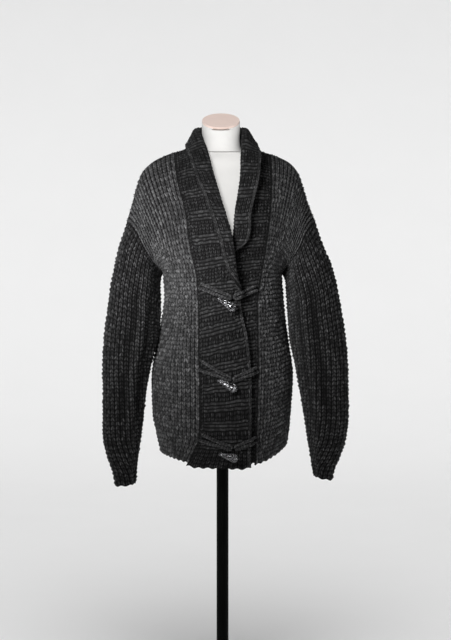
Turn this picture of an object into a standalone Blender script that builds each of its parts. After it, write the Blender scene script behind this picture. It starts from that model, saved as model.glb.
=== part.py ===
"""Shawl collar cardigan in heavy yarn, worn by a limbless dress form on a pole.

Each knitted piece is one closed wall: a surface worked out on a grid, its outer
points raised into the knitted ribs or welts, and a plain inner surface one wall
inside. Metres, +Z up, front towards -Y, origin at the centre of the base's underside.
"right" and "left" are the wearer's, so the right front is at -X.
"""

import math

import bmesh
import bpy
import numpy as np
from mathutils.bvhtree import BVHTree

# --- driving sizes -----------------------------------------------------------
WALL = 0.0050  # plain cloth
RIB_RISE = 0.0016  # how far a knitted rib stands out
WELT_RISE = 0.0024  # how far a purl welt on the bands stands out
SEAM = 0.00022  # what each edge gives up, so that pieces are parted at their seam
WALE = 0.0125  # width of one knitted rib
WELT = 0.0085  # from one welt to the next
UNDERARM = 1.105
HEM_LOW = 0.633  # the hem's height in front and behind
HEM_RISES = ((0.026, 1.5), (0.043, 3.0))  # to the right and left side seams: how much higher, and the power of the rise
BAND_DROP, DROP_REACH = 0.015, 0.035  # how far the right band's corner hangs below the front's hem, and over what length
SECTION_POWER = 2.25  # 2 is an ellipse, more is squarer

BASE_RADIUS, BASE_HEIGHT = 0.165, 0.010
POLE_RADIUS = 0.015
TORSO_BOTTOM = 0.790
NECK_TOP, NECK_TILT = 1.4770, math.radians(26)
NECK_RADIUS, NECK_X, NECK_Y = 0.0475, -0.004, -0.004

# Body sections: height, side at -X, side at +X, depth in front, depth behind.
BODY = (
    (0.630, -0.146, 0.148, 0.124, 0.120),
    (0.660, -0.155, 0.155, 0.131, 0.128),
    (0.690, -0.162, 0.163, 0.135, 0.133),
    (0.750, -0.1735, 0.169, 0.138, 0.138),
    (0.800, -0.176, 0.173, 0.138, 0.141),
    (0.860, -0.175, 0.175, 0.136, 0.142),
    (0.920, -0.166, 0.166, 0.132, 0.137),
    (0.975, -0.1535, 0.158, 0.131, 0.131),
    (1.035, -0.145, 0.152, 0.134, 0.130),
    (1.105, -0.147, 0.146, 0.136, 0.134),
)
# Bands below the roll: seam height, seam x, edge height, edge x, lift over the other band.
RIGHT_BAND = (
    (0.6426, -0.0835, 0.628, 0.069, 0.0112),
    (0.668, -0.071, 0.664, 0.069, 0.0112),
    (0.700, -0.056, 0.702, 0.070, 0.0112),
    (0.760, -0.054, 0.770, 0.071, 0.0112),
    (0.840, -0.054, 0.862, 0.070, 0.0112),
    (0.920, -0.057, 0.950, 0.061, 0.0115),
    (0.985, -0.057, 1.012, 0.047, 0.0125),
    (1.040, -0.058, 1.058, 0.040, 0.0160),
)
LEFT_BAND = (
    (0.639, 0.080, 0.636, -0.012, 0.0),
    (0.735, 0.084, 0.725, -0.012, 0.0),
    (0.860, 0.087, 0.850, -0.012, 0.0),
    (0.940, 0.087, 0.930, -0.012, 0.0),
    (1.040, 0.085, 1.025, -0.012, 0.0),
)
# Bands where they roll: seam x, y, z; roll x, y, z; bow of the section between them,
# width of the fall, radius of the roll, angle of the roll.
RIGHT_ROLL = (
    (-0.060, -0.130, 1.067, 0.0380, -0.1530, 1.080, 0.009, 0.004, 0.0030, 110),
    (-0.062, -0.127, 1.098, 0.0335, -0.1560, 1.115, 0.009, 0.013, 0.0032, 166),
    (-0.080, -0.119, 1.178, 0.0240, -0.1530, 1.190, 0.009, 0.026, 0.0034, 170),
    (-0.089, -0.107, 1.253, 0.0025, -0.132, 1.265, 0.008, 0.030, 0.0036, 174),
    (-0.107, -0.078, 1.322, -0.020, -0.098, 1.338, 0.006, 0.036, 0.0040, 176),
    (-0.116, -0.042, 1.377, -0.036, -0.062, 1.403, 0.001, 0.038, 0.0048, 176),
    (-0.119, 0.000, 1.404, -0.0535, -0.012, 1.452, -0.012, 0.037, 0.0054, 177),
    (-0.098, 0.052, 1.398, -0.049, 0.038, 1.465, -0.012, 0.050, 0.0060, 175),
    (-0.052, 0.084, 1.388, -0.027, 0.062, 1.467, -0.012, 0.064, 0.0060, 163),
    (-0.0003, 0.093, 1.384, -0.0003, 0.068, 1.468, -0.012, 0.068, 0.0060, 161),
)
LEFT_ROLL = (
    (0.096, -0.110, 1.105, -0.012, -0.131, 1.090, 0.004, 0.012, 0.0030, 2),
    (0.102, -0.107, 1.140, -0.003, -0.130, 1.131, 0.004, 0.004, 0.0030, 60),
    (0.108, -0.103, 1.178, 0.020, -0.128, 1.172, 0.005, 0.026, 0.0034, 170),
    (0.117, -0.091, 1.253, 0.030, -0.124, 1.250, 0.006, 0.032, 0.0036, 176),
    (0.1205, -0.068, 1.322, 0.0425, -0.094, 1.330, 0.006, 0.038, 0.0040, 176),
    (0.120, -0.036, 1.372, 0.0455, -0.058, 1.395, 0.001, 0.038, 0.0048, 176),
    (0.119, 0.000, 1.399, 0.0475, -0.012, 1.450, -0.011, 0.036, 0.0054, 177),
    (0.096, 0.052, 1.396, 0.042, 0.038, 1.464, -0.012, 0.049, 0.0060, 175),
    (0.052, 0.084, 1.388, 0.025, 0.062, 1.467, -0.012, 0.064, 0.0060, 163),
    (0.0003, 0.093, 1.384, 0.0003, 0.068, 1.468, -0.012, 0.068, 0.0060, 161),
)
# Shoulder seams from the band outwards, back neck edge, and armhole from the underarm up: x, y, z.
RIGHT_SHOULDER = (
    (-0.119, 0.000, 1.404), (-0.145, 0.000, 1.394), (-0.174, 0.000, 1.379),
    (-0.198, 0.000, 1.356), (-0.213, 0.000, 1.320), (-0.224, 0.000, 1.280),
    (-0.239, 0.000, 1.230),
)
LEFT_SHOULDER = (
    (0.119, 0.000, 1.399), (0.145, 0.000, 1.389), (0.168, 0.000, 1.376),
    (0.187, 0.000, 1.354), (0.199, 0.000, 1.320), (0.212, 0.000, 1.280),
    (0.232, 0.000, 1.230),
)
BACK_NECK = (
    (-0.119, 0.000, 1.404), (-0.098, 0.052, 1.398), (-0.052, 0.084, 1.388), (0.000, 0.093, 1.384),
    (0.052, 0.084, 1.388), (0.096, 0.052, 1.396), (0.119, 0.000, 1.399),
)
RIGHT_ARMHOLE = (
    (-0.147, 0.000, 1.105), (-0.170, -0.034, 1.130), (-0.194, -0.056, 1.168),
    (-0.212, -0.050, 1.206), (-0.228, -0.027, 1.224), (-0.239, 0.000, 1.230),
)
# Right sleeve below its armhole: outer x and z, inner x and z, middle y, half depth.
RIGHT_SLEEVE = (
    (-0.254, 1.180, -0.1555, 1.082, -0.004, 0.060),
    (-0.266, 1.130, -0.1545, 1.048, -0.012, 0.062),
    (-0.275, 1.085, -0.1535, 1.010, -0.022, 0.062),
    (-0.283, 1.025, -0.1552, 0.975, -0.034, 0.060),
    (-0.291, 0.960, -0.1602, 0.935, -0.046, 0.058),
    (-0.296, 0.890, -0.1745, 0.885, -0.048, 0.056),
    (-0.296, 0.810, -0.1890, 0.810, -0.046, 0.053),
    (-0.296, 0.740, -0.1970, 0.740, -0.044, 0.050),
    (-0.295, 0.685, -0.2040, 0.685, -0.042, 0.046),
    (-0.285, 0.645, -0.2100, 0.645, -0.041, 0.040),
    (-0.272, 0.605, -0.2140, 0.606, -0.040, 0.034),
    (-0.267, 0.577, -0.2160, 0.583, -0.040, 0.033),
)
LEFT_SLEEVE = (
    (0.247, 1.180, 0.1570, 1.082, -0.004, 0.060),
    (0.268, 1.130, 0.1595, 1.048, -0.012, 0.062),
    (0.281, 1.085, 0.1615, 1.010, -0.022, 0.062),
    (0.292, 1.025, 0.1635, 0.975, -0.034, 0.060),
    (0.302, 0.960, 0.1670, 0.935, -0.046, 0.058),
    (0.309, 0.890, 0.1780, 0.885, -0.048, 0.056),
    (0.311, 0.810, 0.1920, 0.810, -0.046, 0.053),
    (0.312, 0.740, 0.2040, 0.740, -0.044, 0.050),
    (0.3045, 0.685, 0.2125, 0.685, -0.042, 0.046),
    (0.2920, 0.648, 0.2190, 0.650, -0.041, 0.040),
    (0.2795, 0.618, 0.2230, 0.622, -0.040, 0.034),
    (0.2730, 0.592, 0.2265, 0.602, -0.040, 0.033),
)
# Dress form: height, half width, depth in front, depth behind.
TORSO = (
    (0.790, 0.146, 0.100, 0.104),
    (0.800, 0.151, 0.105, 0.110),
    (0.860, 0.153, 0.108, 0.118),
    (0.930, 0.138, 0.103, 0.105),
    (1.010, 0.113, 0.094, 0.088),
    (1.090, 0.122, 0.106, 0.096),
    (1.160, 0.131, 0.113, 0.108),
    (1.230, 0.134, 0.096, 0.100),
    (1.290, 0.140, 0.072, 0.085),
    (1.337, 0.150, 0.055, 0.062),
    (1.364, 0.150, 0.042, 0.045),
    (1.382, 0.124, 0.038, 0.040),
    (1.3955, 0.082, 0.042, 0.044),
    (1.4030, 0.058, 0.046, 0.048),
)
# Toggles: x and z of the narrow end, x and z of the wide end.
TOGGLES = (
    (-0.0110, 1.0460, 0.0310, 1.0200),
    (-0.0110, 0.8480, 0.0330, 0.8250),
    (-0.0080, 0.6690, 0.0360, 0.6570),
)
# A toggle's outline: share of its length, radius.
TOGGLE_PROFILE = (
    (0.00, 0.0030), (0.06, 0.0042), (0.35, 0.0062), (0.62, 0.0090), (0.80, 0.0110), (0.93, 0.0098), (1.00, 0.0062),
)
# Cord loops: sewn end x and z, loop end x and z, distance of the two strands at the sewn end.
CORDS = (
    ("cord_right_1", -0.0560, 1.0760, 0.0150, 1.0480, 0.0125),
    ("cord_right_2", -0.0555, 0.8830, 0.0150, 0.8510, 0.0230),
    ("cord_right_3", -0.0550, 0.7080, 0.0170, 0.6830, 0.0165),
    ("cord_left_1", 0.0850, 1.0700, 0.0330, 1.0490, 0.0110),
    ("cord_left_2", 0.0870, 0.8720, 0.0330, 0.8520, 0.0110),
    ("cord_left_3", 0.0840, 0.7020, 0.0370, 0.6840, 0.0110),
)
CORD_RADIUS, CORD_PITCH = 0.0041, 0.0090  # one strand, and from strand to strand where they lie together
CORD_SIDES, TOGGLE_SIDES = 6, 12
LIFT_CLEAR = 0.0010  # what lies on the bands stays this far from them
SEAT_CLEAR = 0.0008  # and the toggles are pressed down to this
FRONT_WALES, BACK_WALES = 18, 48
NECK_TURN = 8  # columns over which the back's edge turns from the shoulder seam to the neck
BODY_ROWS, SLEEVE_ROWS = 11, 10
WELD = 1e-6
MIDDLE_LIFT = 1.12  # of the edge's lift
EDGE_SHARE = 0.4  # the band's length is measured this far from its seam to its edge
TIE = 5e-4  # two places along an edge closer than this count as level
FLAT_FALL, FLAT_ROLL = 0.012, 0.0095  # the edge's share of the band where nothing is rolled
# Lengthwise crease in front of each sleeve: height as a share of the half width, place round
# the ring, width of its ridge, step from there to the trough behind it, and the trough's width.
CREASE, CREASE_ANGLE, CREASE_WIDTH, TROUGH_STEP, TROUGH_WIDTH = 0.09, math.radians(114), 0.28, 0.62, 0.30
CHEST_TOP = 1.305  # above it the form's rings are closer together, for the shoulders
CAP_RADIUS, CAP_HEIGHT, CAP_LIFT = 0.0465, 0.005, 0.0006
PART_GAP = 0.0003
INNER_SPACING, INNER_COLUMNS, SLEEVE_INNER = 0.030, 4, 3
YOKE_START = 0.58  # share of the body's rows that lie below the underarm
# Neck: height, radius, how far it has leaned towards its top.
NECK_RINGS = ((1.4033, 0.0540, 0.0), (1.4110, 0.0500, 0.1), (1.4250, 0.0475, 0.3), (1.4530, 0.0472, 0.7), (1.4770, 0.0475, 1.0))
LOWER_PITCH, UPPER_PITCH = 0.047, 0.059  # from one group of welts to the next
BELOW_SHOULDER = 8  # the band's first rows, whose seam points only rise
YOKE_CLEAR = 0.03  # the collar's rows closer than this to the underarm are left out of the yoke's edge
RING_POINTS = 128

CLOTH = bpy.data.collections.new("shawl_collar_cardigan")


# --- scene and materials -----------------------------------------------------
def clear_scene():
    for item in list(bpy.data.objects):
        bpy.data.objects.remove(item, do_unlink=True)
    bpy.context.scene.collection.children.link(CLOTH)


def material(name, colour, roughness, metallic=0.0):
    made = bpy.data.materials.new(name)
    made.use_nodes = True
    shader = made.node_tree.nodes["Principled BSDF"]
    shader.inputs["Base Color"].default_value = (*colour, 1.0)
    shader.inputs["Roughness"].default_value = roughness
    shader.inputs["Metallic"].default_value = metallic
    return made


def add_object(name, mesh, finish):
    made = bpy.data.objects.new(name, mesh)
    made.data.materials.append(finish)
    CLOTH.objects.link(made)
    return made


# --- curves and grids --------------------------------------------------------
def cubic(knots, values, at):
    """Smooth interpolation through rows of values at increasing knots."""
    knots, values = np.asarray(knots, float), np.asarray(values, float)
    slopes = np.gradient(values, knots, axis=0)
    at = np.clip(at, knots[0], knots[-1])
    i = np.clip(np.searchsorted(knots, at) - 1, 0, len(knots) - 2)
    h = (knots[i + 1] - knots[i])[..., None]
    t = ((at - knots[i]) / h[..., 0])[..., None]
    return (
        (2 * t**3 - 3 * t**2 + 1) * values[i]
        + (t**3 - 2 * t**2 + t) * h * slopes[i]
        + (3 * t**2 - 2 * t**3) * values[i + 1]
        + (t**3 - t**2) * h * slopes[i + 1]
    )


def lengths(points):
    """Distance along a polyline at each of its points."""
    steps = np.linalg.norm(np.diff(points, axis=0), axis=1)
    return np.concatenate([[0.0], np.cumsum(steps)])


def along(points, fractions):
    """Points of a smooth curve through the given ones, at fractions of its length."""
    points = np.asarray(points, float)
    dense = cubic(lengths(points), points, np.linspace(0, lengths(points)[-1], 200))
    run = lengths(dense)
    at = np.asarray(fractions) * run[-1]
    return np.stack([np.interp(at, run, dense[:, k]) for k in range(dense.shape[1])], axis=-1)


def power(value, exponent):
    return np.sign(value) * np.abs(value) ** exponent


def body_point(angle, height):
    """A point of the body's section: angle 0 is +X, 90 degrees the front, 180 is -X."""
    rows = np.asarray(BODY)
    low, high, front, behind = np.moveaxis(cubic(rows[:, 0], rows[:, 1:], height), -1, 0)
    e = 2 / SECTION_POWER
    across, out = power(np.cos(angle), e), power(np.sin(angle), e)
    x = (low + high) / 2 + (high - low) / 2 * across
    y = -np.where(out > 0, front, behind) * out
    return np.stack([x, y, height + 0 * x], axis=-1)


def front_angle(x, height):
    """The angle at which the body's front passes through x."""
    rows = np.asarray(BODY)
    values = cubic(rows[:, 0], rows[:, 1:3], height)
    low, high = values[..., 0], values[..., 1]
    across = np.clip((x - (low + high) / 2) / ((high - low) / 2), -1, 1)
    return np.arccos(power(across, SECTION_POWER / 2))


def normals(grid, closed=False):
    """Unit normals of a grid: across its columns times along its rows."""
    if closed:
        wide = np.concatenate([grid[:, -2:-1], grid, grid[:, 1:2]], axis=1)
        across = wide[:, 2:] - wide[:, :-2]
    else:
        across = np.gradient(grid, axis=1)
    out = np.cross(across, np.gradient(grid, axis=0))
    return out / np.maximum(np.linalg.norm(out, axis=-1, keepdims=True), 1e-12)


def level_seams(grid, out):
    """Side and shoulder seams lie in the plane y = 0, so their normals are turned into it."""
    on_seam = np.abs(grid[..., 1]) < 1e-6
    out[..., 1][on_seam] = 0.0
    out /= np.linalg.norm(out, axis=-1, keepdims=True)


def trimmed(grid, edges):
    """The grid with the named edges drawn in by the seam gap."""
    grid = grid.copy()
    for edge, inner, axis in (("first_row", 1, 0), ("last_row", -2, 0), ("first_column", 1, 1), ("last_column", -2, 1)):
        if edge not in edges:
            continue
        here = 0 if inner == 1 else -1
        rim, inside = np.take(grid, here, axis), np.take(grid, inner, axis)
        step = inside - rim
        step = step / np.maximum(np.linalg.norm(step, axis=-1, keepdims=True), 1e-9)
        if axis == 0:
            grid[here] = rim + step * SEAM
        else:
            grid[:, here] = rim + step * SEAM
    return grid


def quads(rows, columns, closed=False):
    """Corner indices of a grid's squares."""
    r = np.arange(rows - 1)[:, None]
    c = np.arange(columns if closed else columns - 1)[None, :]
    n = (c + 1) % columns if closed else c + 1
    return np.stack([r * columns + c, r * columns + n, (r + 1) * columns + n, (r + 1) * columns + c], -1).reshape(-1, 4)


def strip(outer, inner, outer_at=None, inner_at=None):
    """Triangles between two index rows that run side by side, each outer point to its nearest inner one.

    The same triangles come out when both rows are read backwards, so that two walls match at their seam.
    """
    outer_at = np.linspace(0, 1, len(outer)) if outer_at is None else outer_at
    inner_at = np.linspace(0, 1, len(inner)) if inner_at is None else inner_at
    faces, i, j = [], 0, 0
    while i < len(outer) - 1 or j < len(inner) - 1:
        near = j == len(inner) - 1 or outer_at[min(i + 1, len(outer) - 1)] <= (inner_at[j] + inner_at[j + 1]) / 2 + TIE
        if i < len(outer) - 1 and near:
            faces.append((outer[i], outer[i + 1], inner[j]))
            i += 1
        else:
            faces.append((outer[i], inner[j + 1], inner[j]))
            j += 1
    return faces


def wall(name, outer, inner, finish, closed=False, rows_at=(None, None)):
    """A closed wall between a fine outer grid and a coarser inner one, joined along their edges.

    rows_at tells where the outer and the inner rows lie, if they aren't evenly spaced alike.
    """
    rows, columns = outer.shape[:2]
    inner_rows, inner_columns = inner.shape[:2]
    first = rows * columns
    top = np.arange(rows * columns).reshape(rows, columns)
    bottom = first + np.arange(inner_rows * inner_columns).reshape(inner_rows, inner_columns)
    faces = quads(rows, columns, closed).tolist()
    faces += (first + quads(inner_rows, inner_columns, closed))[:, ::-1].tolist()
    low, high = list(top[0]), list(top[-1])
    low_in, high_in = list(bottom[0]), list(bottom[-1])
    if closed:
        low, high = low + low[:1], high + high[:1]
        low_in, high_in = low_in + low_in[:1], high_in + high_in[:1]
    faces += [face[::-1] for face in strip(low, low_in)] + strip(high, high_in)
    if not closed:
        faces += strip(list(top[:, 0]), list(bottom[:, 0]), *rows_at)
        faces += [face[::-1] for face in strip(list(top[:, -1]), list(bottom[:, -1]), *rows_at)]
    mesh = bpy.data.meshes.new(name)
    mesh.from_pydata(np.concatenate([outer.reshape(-1, 3), inner.reshape(-1, 3)]).tolist(), [], faces)
    mesh.update()
    edit = bmesh.new()
    edit.from_mesh(mesh)
    bmesh.ops.remove_doubles(edit, verts=edit.verts, dist=WELD)
    if edit.calc_volume(signed=True) < 0:
        bmesh.ops.reverse_faces(edit, faces=edit.faces)
    edit.to_mesh(mesh)
    edit.free()
    return add_object(name, mesh, finish)


# --- body --------------------------------------------------------------------
def hem_height(angle):
    """The hem rises from the front and the back to the side seams."""
    right, left = (rise * np.abs(np.cos(angle)) ** exponent for rise, exponent in HEM_RISES)
    return HEM_LOW + np.where(np.cos(angle) < 0, right, left)


def left_armhole():
    """The right armhole turned over and fitted between the left underarm and shoulder point."""
    turned = np.array(RIGHT_ARMHOLE)
    ends = (LEFT_SHOULDER[-1][0], BODY[-1][2])
    turned[:, 0] = np.interp(turned[:, 0], (RIGHT_SHOULDER[-1][0], BODY[-1][1]), ends)
    return turned


def front_grid(side, rows, columns):
    """A front: straight columns from the hem to the underarm, then fanned out to the shoulder seam."""
    sign = -1 if side == "right" else 1
    band = np.asarray(RIGHT_BAND if side == "right" else LEFT_BAND)
    roll = np.asarray(RIGHT_ROLL if side == "right" else LEFT_ROLL)
    shoulder = RIGHT_SHOULDER if side == "right" else LEFT_SHOULDER
    armhole = np.asarray(RIGHT_ARMHOLE if side == "right" else left_armhole())
    s = np.linspace(0, 1, columns)
    split = int(round(rows * YOKE_START))
    seam_z = np.concatenate([band[:, 0], roll[:3, 2]])
    seam_x = np.concatenate([band[:, 1], roll[:3, 0]])
    side_angle = math.pi if side == "right" else 0.0
    r = np.linspace(0, 1, split)[:, None]
    base = front_angle(np.full(1, band[0, 1]), np.full(1, band[0, 0]))[0]
    hem = hem_height(base + (side_angle - base) * s)[None, :]
    height = hem + r * (UNDERARM - hem)
    inner_x = np.interp(height, seam_z, seam_x)
    start = front_angle(inner_x, height)
    lower = body_point(start + (side_angle - start) * s[None, :], height)
    # The yoke: each column leaves the underarm line upwards and reaches the shoulder seam from the front.
    t = np.linspace(0, 1, rows - split + 1)[:, None, None]
    low, top = lower[-1][None], along(shoulder, s)[None]
    rise = top[..., 2:] - low[..., 2:]
    up = np.concatenate([0.5 * sign * s[None, :, None] ** 2 * rise, -0.55 * s[None, :, None] ** 2 * rise, 1.15 * rise], -1)
    over = np.concatenate([0 * rise, 0.20 + 0 * rise, 0.10 * rise], -1)
    yoke = (2 * t**3 - 3 * t**2 + 1) * low + (t**3 - 2 * t**2 + t) * up + (3 * t**2 - 2 * t**3) * top + (t**3 - t**2) * over
    to_shoulder = roll[:1 + np.argmax(roll[:, 1] >= 0)]
    seam = np.concatenate([lower[-1, :1], to_shoulder[to_shoulder[:, 2] > UNDERARM + YOKE_CLEAR, :3]])
    fraction = t[:, 0, 0]
    yoke += (1 - s)[None, :, None] ** 2 * (along(seam, fraction) - yoke[:, 0])[:, None]
    yoke += s[None, :, None] ** 3 * (along(armhole, fraction) - yoke[:, -1])[:, None]
    return np.concatenate([lower, yoke[1:]])


def back_grid(rows, columns, right_front, left_front):
    """The back: from side seam to side seam round behind, up to both shoulders and the neck between them."""
    s = np.linspace(0, 1, columns)
    split = int(round(rows * YOKE_START))
    angle = math.pi + math.pi * s[None, :]
    hem = hem_height(angle[0])[None, :]
    height = hem + np.linspace(0, 1, split)[:, None] * (UNDERARM - hem)
    lower = body_point(angle + 0 * height, height)
    t = np.linspace(0, 1, rows - split + 1)[:, None, None]
    third = np.linspace(0, 1, (columns - 1) // 3 + 1)
    top = np.concatenate([along(RIGHT_SHOULDER[::-1], third), along(BACK_NECK, third)[1:], along(LEFT_SHOULDER, third)[1:]])[None]
    low = lower[-1][None]
    rise = top[..., 2:] - low[..., 2:]
    edge = (np.abs(2 * s - 1) ** 3)[None, :, None]
    lean = np.sign(2 * s - 1)[None, :, None] * edge
    up = np.concatenate([0.5 * lean * rise, 0.5 * edge * rise, 1.10 * rise], -1)
    heading = np.gradient(top[0, :, :2], axis=0)
    heading = np.stack([np.convolve(np.pad(heading[:, k], 3, mode="edge"), np.full(7, 1 / 7), "valid") for k in range(2)], -1)
    heading /= np.linalg.norm(heading, axis=-1, keepdims=True)
    reach = 0.24 * (0.45 + 0.55 * np.abs(2 * s - 1))
    over = np.stack([heading[:, 1] * reach, -heading[:, 0] * reach, 0.10 * rise[0, :, 0]], axis=-1)[None]
    yoke = (2 * t**3 - 3 * t**2 + 1) * low + (t**3 - 2 * t**2 + t) * up + (3 * t**2 - 2 * t**3) * top + (t**3 - t**2) * over
    fraction = t[:, 0, 0]
    for edge_column, front in ((0, right_front), (-1, left_front)):
        armhole = front[-len(fraction):, -1] * (1, -1, 1)
        fade = (s if edge_column else 1 - s)[None, :, None] ** 8
        yoke += fade * (along(armhole, fraction) - yoke[:, edge_column])[:, None]
    return np.concatenate([lower, yoke[1:]])


def ribbed(grid, out, wales, first=0.5):
    """The grid with its columns raised by turns, peaks on the middle of each rib."""
    s = np.linspace(0, 1, grid.shape[1])
    height = RIB_RISE * np.cos(2 * math.pi * (s * wales - first))
    return grid + out * height[None, :, None]


def coarse(grid, out, row_step, column_step):
    """The plain inner surface: every few points of the grid, one wall inside."""
    r = np.unique(np.append(np.arange(0, grid.shape[0], row_step), grid.shape[0] - 1))
    c = np.unique(np.append(np.arange(0, grid.shape[1], column_step), grid.shape[1] - 1))
    return (grid - out * WALL)[np.ix_(r, c)]


def panel(name, grid, out, wales, edges, finish):
    cut = trimmed(grid, edges)
    return wall(name, ribbed(cut, out, wales), coarse(cut, out, 1, INNER_COLUMNS), finish)


def make_body(finish):
    """The two fronts and the back, with shared normals along the seams that they meet at."""
    rows = BODY_ROWS
    right = front_grid("right", rows, 2 * FRONT_WALES + 1)
    left = front_grid("left", rows, 2 * FRONT_WALES + 1)
    back = back_grid(rows, 2 * BACK_WALES + 1, right, left)
    back[:, 0] = right[:, -1] * (1, -1, 1)
    back[:, -1] = left[:, -1] * (1, -1, 1)
    right_out, left_out, back_out = -normals(right), normals(left), -normals(back)
    for grid, out in ((right, right_out), (left, left_out), (back, back_out)):
        level_seams(grid, out)
    third = (back.shape[1] - 1) // 3
    middle = (back.shape[1] - 1) // 2
    for corner, step, front_out in ((third, 1, right_out), (2 * third, -1, left_out)):
        turned = corner + step * np.arange(NECK_TURN + 1)
        share = np.linspace(0, 1, NECK_TURN + 1)[:, None]
        mixed = (1 - share) * front_out[-1, 0] + share * back_out[-1, turned[-1]]
        back_out[-1, turned] = mixed / np.linalg.norm(mixed, axis=-1, keepdims=True)
    edges = {
        "right": (np.concatenate([right[:, 0], back[-1, third + 1:middle + 1]]),
                  np.concatenate([right_out[:, 0], back_out[-1, third + 1:middle + 1]])),
        "left": (np.concatenate([left[:, 0], back[-1, middle:2 * third][::-1]]),
                 np.concatenate([left_out[:, 0], back_out[-1, middle:2 * third][::-1]])),
    }
    yoke_rows = right.shape[0] - int(round(right.shape[0] * YOKE_START)) + 1
    armholes = {}
    for side, front, front_out, column in (("right", right, right_out, 0), ("left", left, left_out, -1)):
        armholes[side] = tuple(
            np.concatenate([ahead[-yoke_rows:, -1][::-1], behind[-yoke_rows:, column][1:]])
            for ahead, behind in ((front, back), (front_out, back_out))
        )
    panel("front_right", right, right_out, FRONT_WALES, ("last_row", "first_column", "last_column"), finish)
    panel("front_left", left, left_out, FRONT_WALES, ("last_row", "first_column", "last_column"), finish)
    panel("back", back, back_out, BACK_WALES, ("last_row", "first_column", "last_column"), finish)
    return edges, armholes


# --- bands and shawl collar --------------------------------------------------
def band_stations(side):
    """Rows of the band from the hem to centre back: seam, middle control and edge points, and how it rolls."""
    lower = np.asarray(RIGHT_BAND if side == "right" else LEFT_BAND)
    roll = np.asarray(RIGHT_ROLL if side == "right" else LEFT_ROLL)
    seam_z, seam_x, edge_z, edge_x, lift = lower.T
    middle_x, middle_z = (seam_x + edge_x) / 2, (seam_z + edge_z) / 2
    seam = body_point(front_angle(seam_x, seam_z), seam_z)
    edge = body_point(front_angle(edge_x, edge_z), edge_z) - np.outer(lift, (0, 1, 0))
    middle = body_point(front_angle(middle_x, middle_z), middle_z) - np.outer(MIDDLE_LIFT * lift, (0, 1, 0))
    control = 2 * middle - (seam + edge) / 2
    roll_seam, roll_edge = roll[:, 0:3], roll[:, 3:6]
    chord = roll_edge - roll_seam
    path = np.gradient((roll_seam + roll_edge) / 2, axis=0)
    out = np.cross(chord, path) * (1 if side == "right" else -1)
    out /= np.linalg.norm(out, axis=1, keepdims=True)
    roll_control = (roll_seam + roll_edge) / 2 + 2 * roll[:, 6:7] * out
    flat = np.tile([[FLAT_FALL, FLAT_ROLL, 0.0]], (len(lower), 1))
    rolled = np.stack([roll[:, 7], math.pi * roll[:, 8], np.radians(roll[:, 9])], axis=1)
    return np.concatenate([
        np.concatenate([seam, roll_seam]),
        np.concatenate([control, roll_control]),
        np.concatenate([edge, roll_edge]),
        np.concatenate([flat, rolled]),
    ], axis=1)


def band_path(side):
    """The stations and the distance along the band at each."""
    stations = band_stations(side)
    return stations, lengths(stations[:, 0:3] * (1 - EDGE_SHARE) + stations[:, 6:9] * EDGE_SHARE)


def hem_drop(run, seam):
    """How far the band's seam edge is carried on below the body's own, straight on along it."""
    away = seam[0] - seam[np.searchsorted(lengths(seam), DROP_REACH / 2)]
    return BAND_DROP * np.clip(1 - run / DROP_REACH, 0, 1)[:, None] * away / np.linalg.norm(away)


def band_surface(side, run, share, body_edge):
    """Points and outward normals of the band's face at distances along it and shares across it.

    Across: 0 to 1 is the bow from the seam, 1 to 2 the roll, 2 to 3 the fall. The seam follows
    the body's own edge, points and normals alike.
    """
    stations, knots = band_path(side)
    rows = cubic(knots, stations, run)[:, None, :]
    seam_run = lengths(stations[:, 0:3])
    fraction = cubic(knots, seam_run[:, None] / seam_run[-1], run)[:, 0]
    edge_run = lengths(body_edge[0])
    both = np.concatenate(body_edge, axis=1)
    on_edge = np.stack([np.interp(fraction * edge_run[-1], edge_run, both[:, k]) for k in range(6)], axis=-1)
    if side == "right":
        on_edge[:, 0:3] += hem_drop(run, body_edge[0])
    seam, control, edge = on_edge[:, None, 0:3], rows[..., 3:6], rows[..., 6:9]
    fall, bend = np.maximum(rows[..., 9:10], 0.004), rows[..., 10:11]
    turn = np.clip(rows[..., 11:12], 0.0, math.pi)
    span = (np.linalg.norm(edge - seam, axis=-1, keepdims=True)
            + np.linalg.norm(control - seam, axis=-1, keepdims=True)
            + np.linalg.norm(edge - control, axis=-1, keepdims=True)) / 2
    rolled = np.sin(np.minimum(turn, math.pi / 2))
    inset = (fall + bend) * (1 - rolled) + (bend / math.pi + WALL) * rolled
    reach = 1 - inset / span
    share = share[None, :, None]
    q = np.clip(share, 0, 1) * reach
    flat = (1 - q) ** 2 * seam + 2 * q * (1 - q) * control + q**2 * edge
    heading = 2 * (1 - q) * (control - seam) + 2 * q * (edge - control)
    heading /= np.linalg.norm(heading, axis=-1, keepdims=True)
    path = np.gradient(flat, axis=0)
    out = np.cross(heading, path) * (1 if side == "right" else -1)
    out /= np.linalg.norm(out, axis=-1, keepdims=True)
    angle = np.clip(share - 1, 0, 1) * turn
    curve = np.maximum(turn / bend, 1e-3)
    arc = np.clip(share - 1, 0, 1) * bend
    point = flat + heading * np.sin(curve * arc) / curve + out * (1 - np.cos(curve * arc)) / curve
    down = np.clip(share - 2, 0, 1) * fall
    point = point + (heading * np.cos(turn) + out * np.sin(turn)) * down
    facing = out * np.cos(angle) - heading * np.sin(angle)
    facing[:, 0] = on_edge[:, 3:6] / np.linalg.norm(on_edge[:, 3:6], axis=-1, keepdims=True)
    facing[-1, :, 0] = 0.0
    facing[-1] /= np.linalg.norm(facing[-1], axis=-1, keepdims=True)
    point[-1, :, 0] = 0.0
    return point, facing


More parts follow.
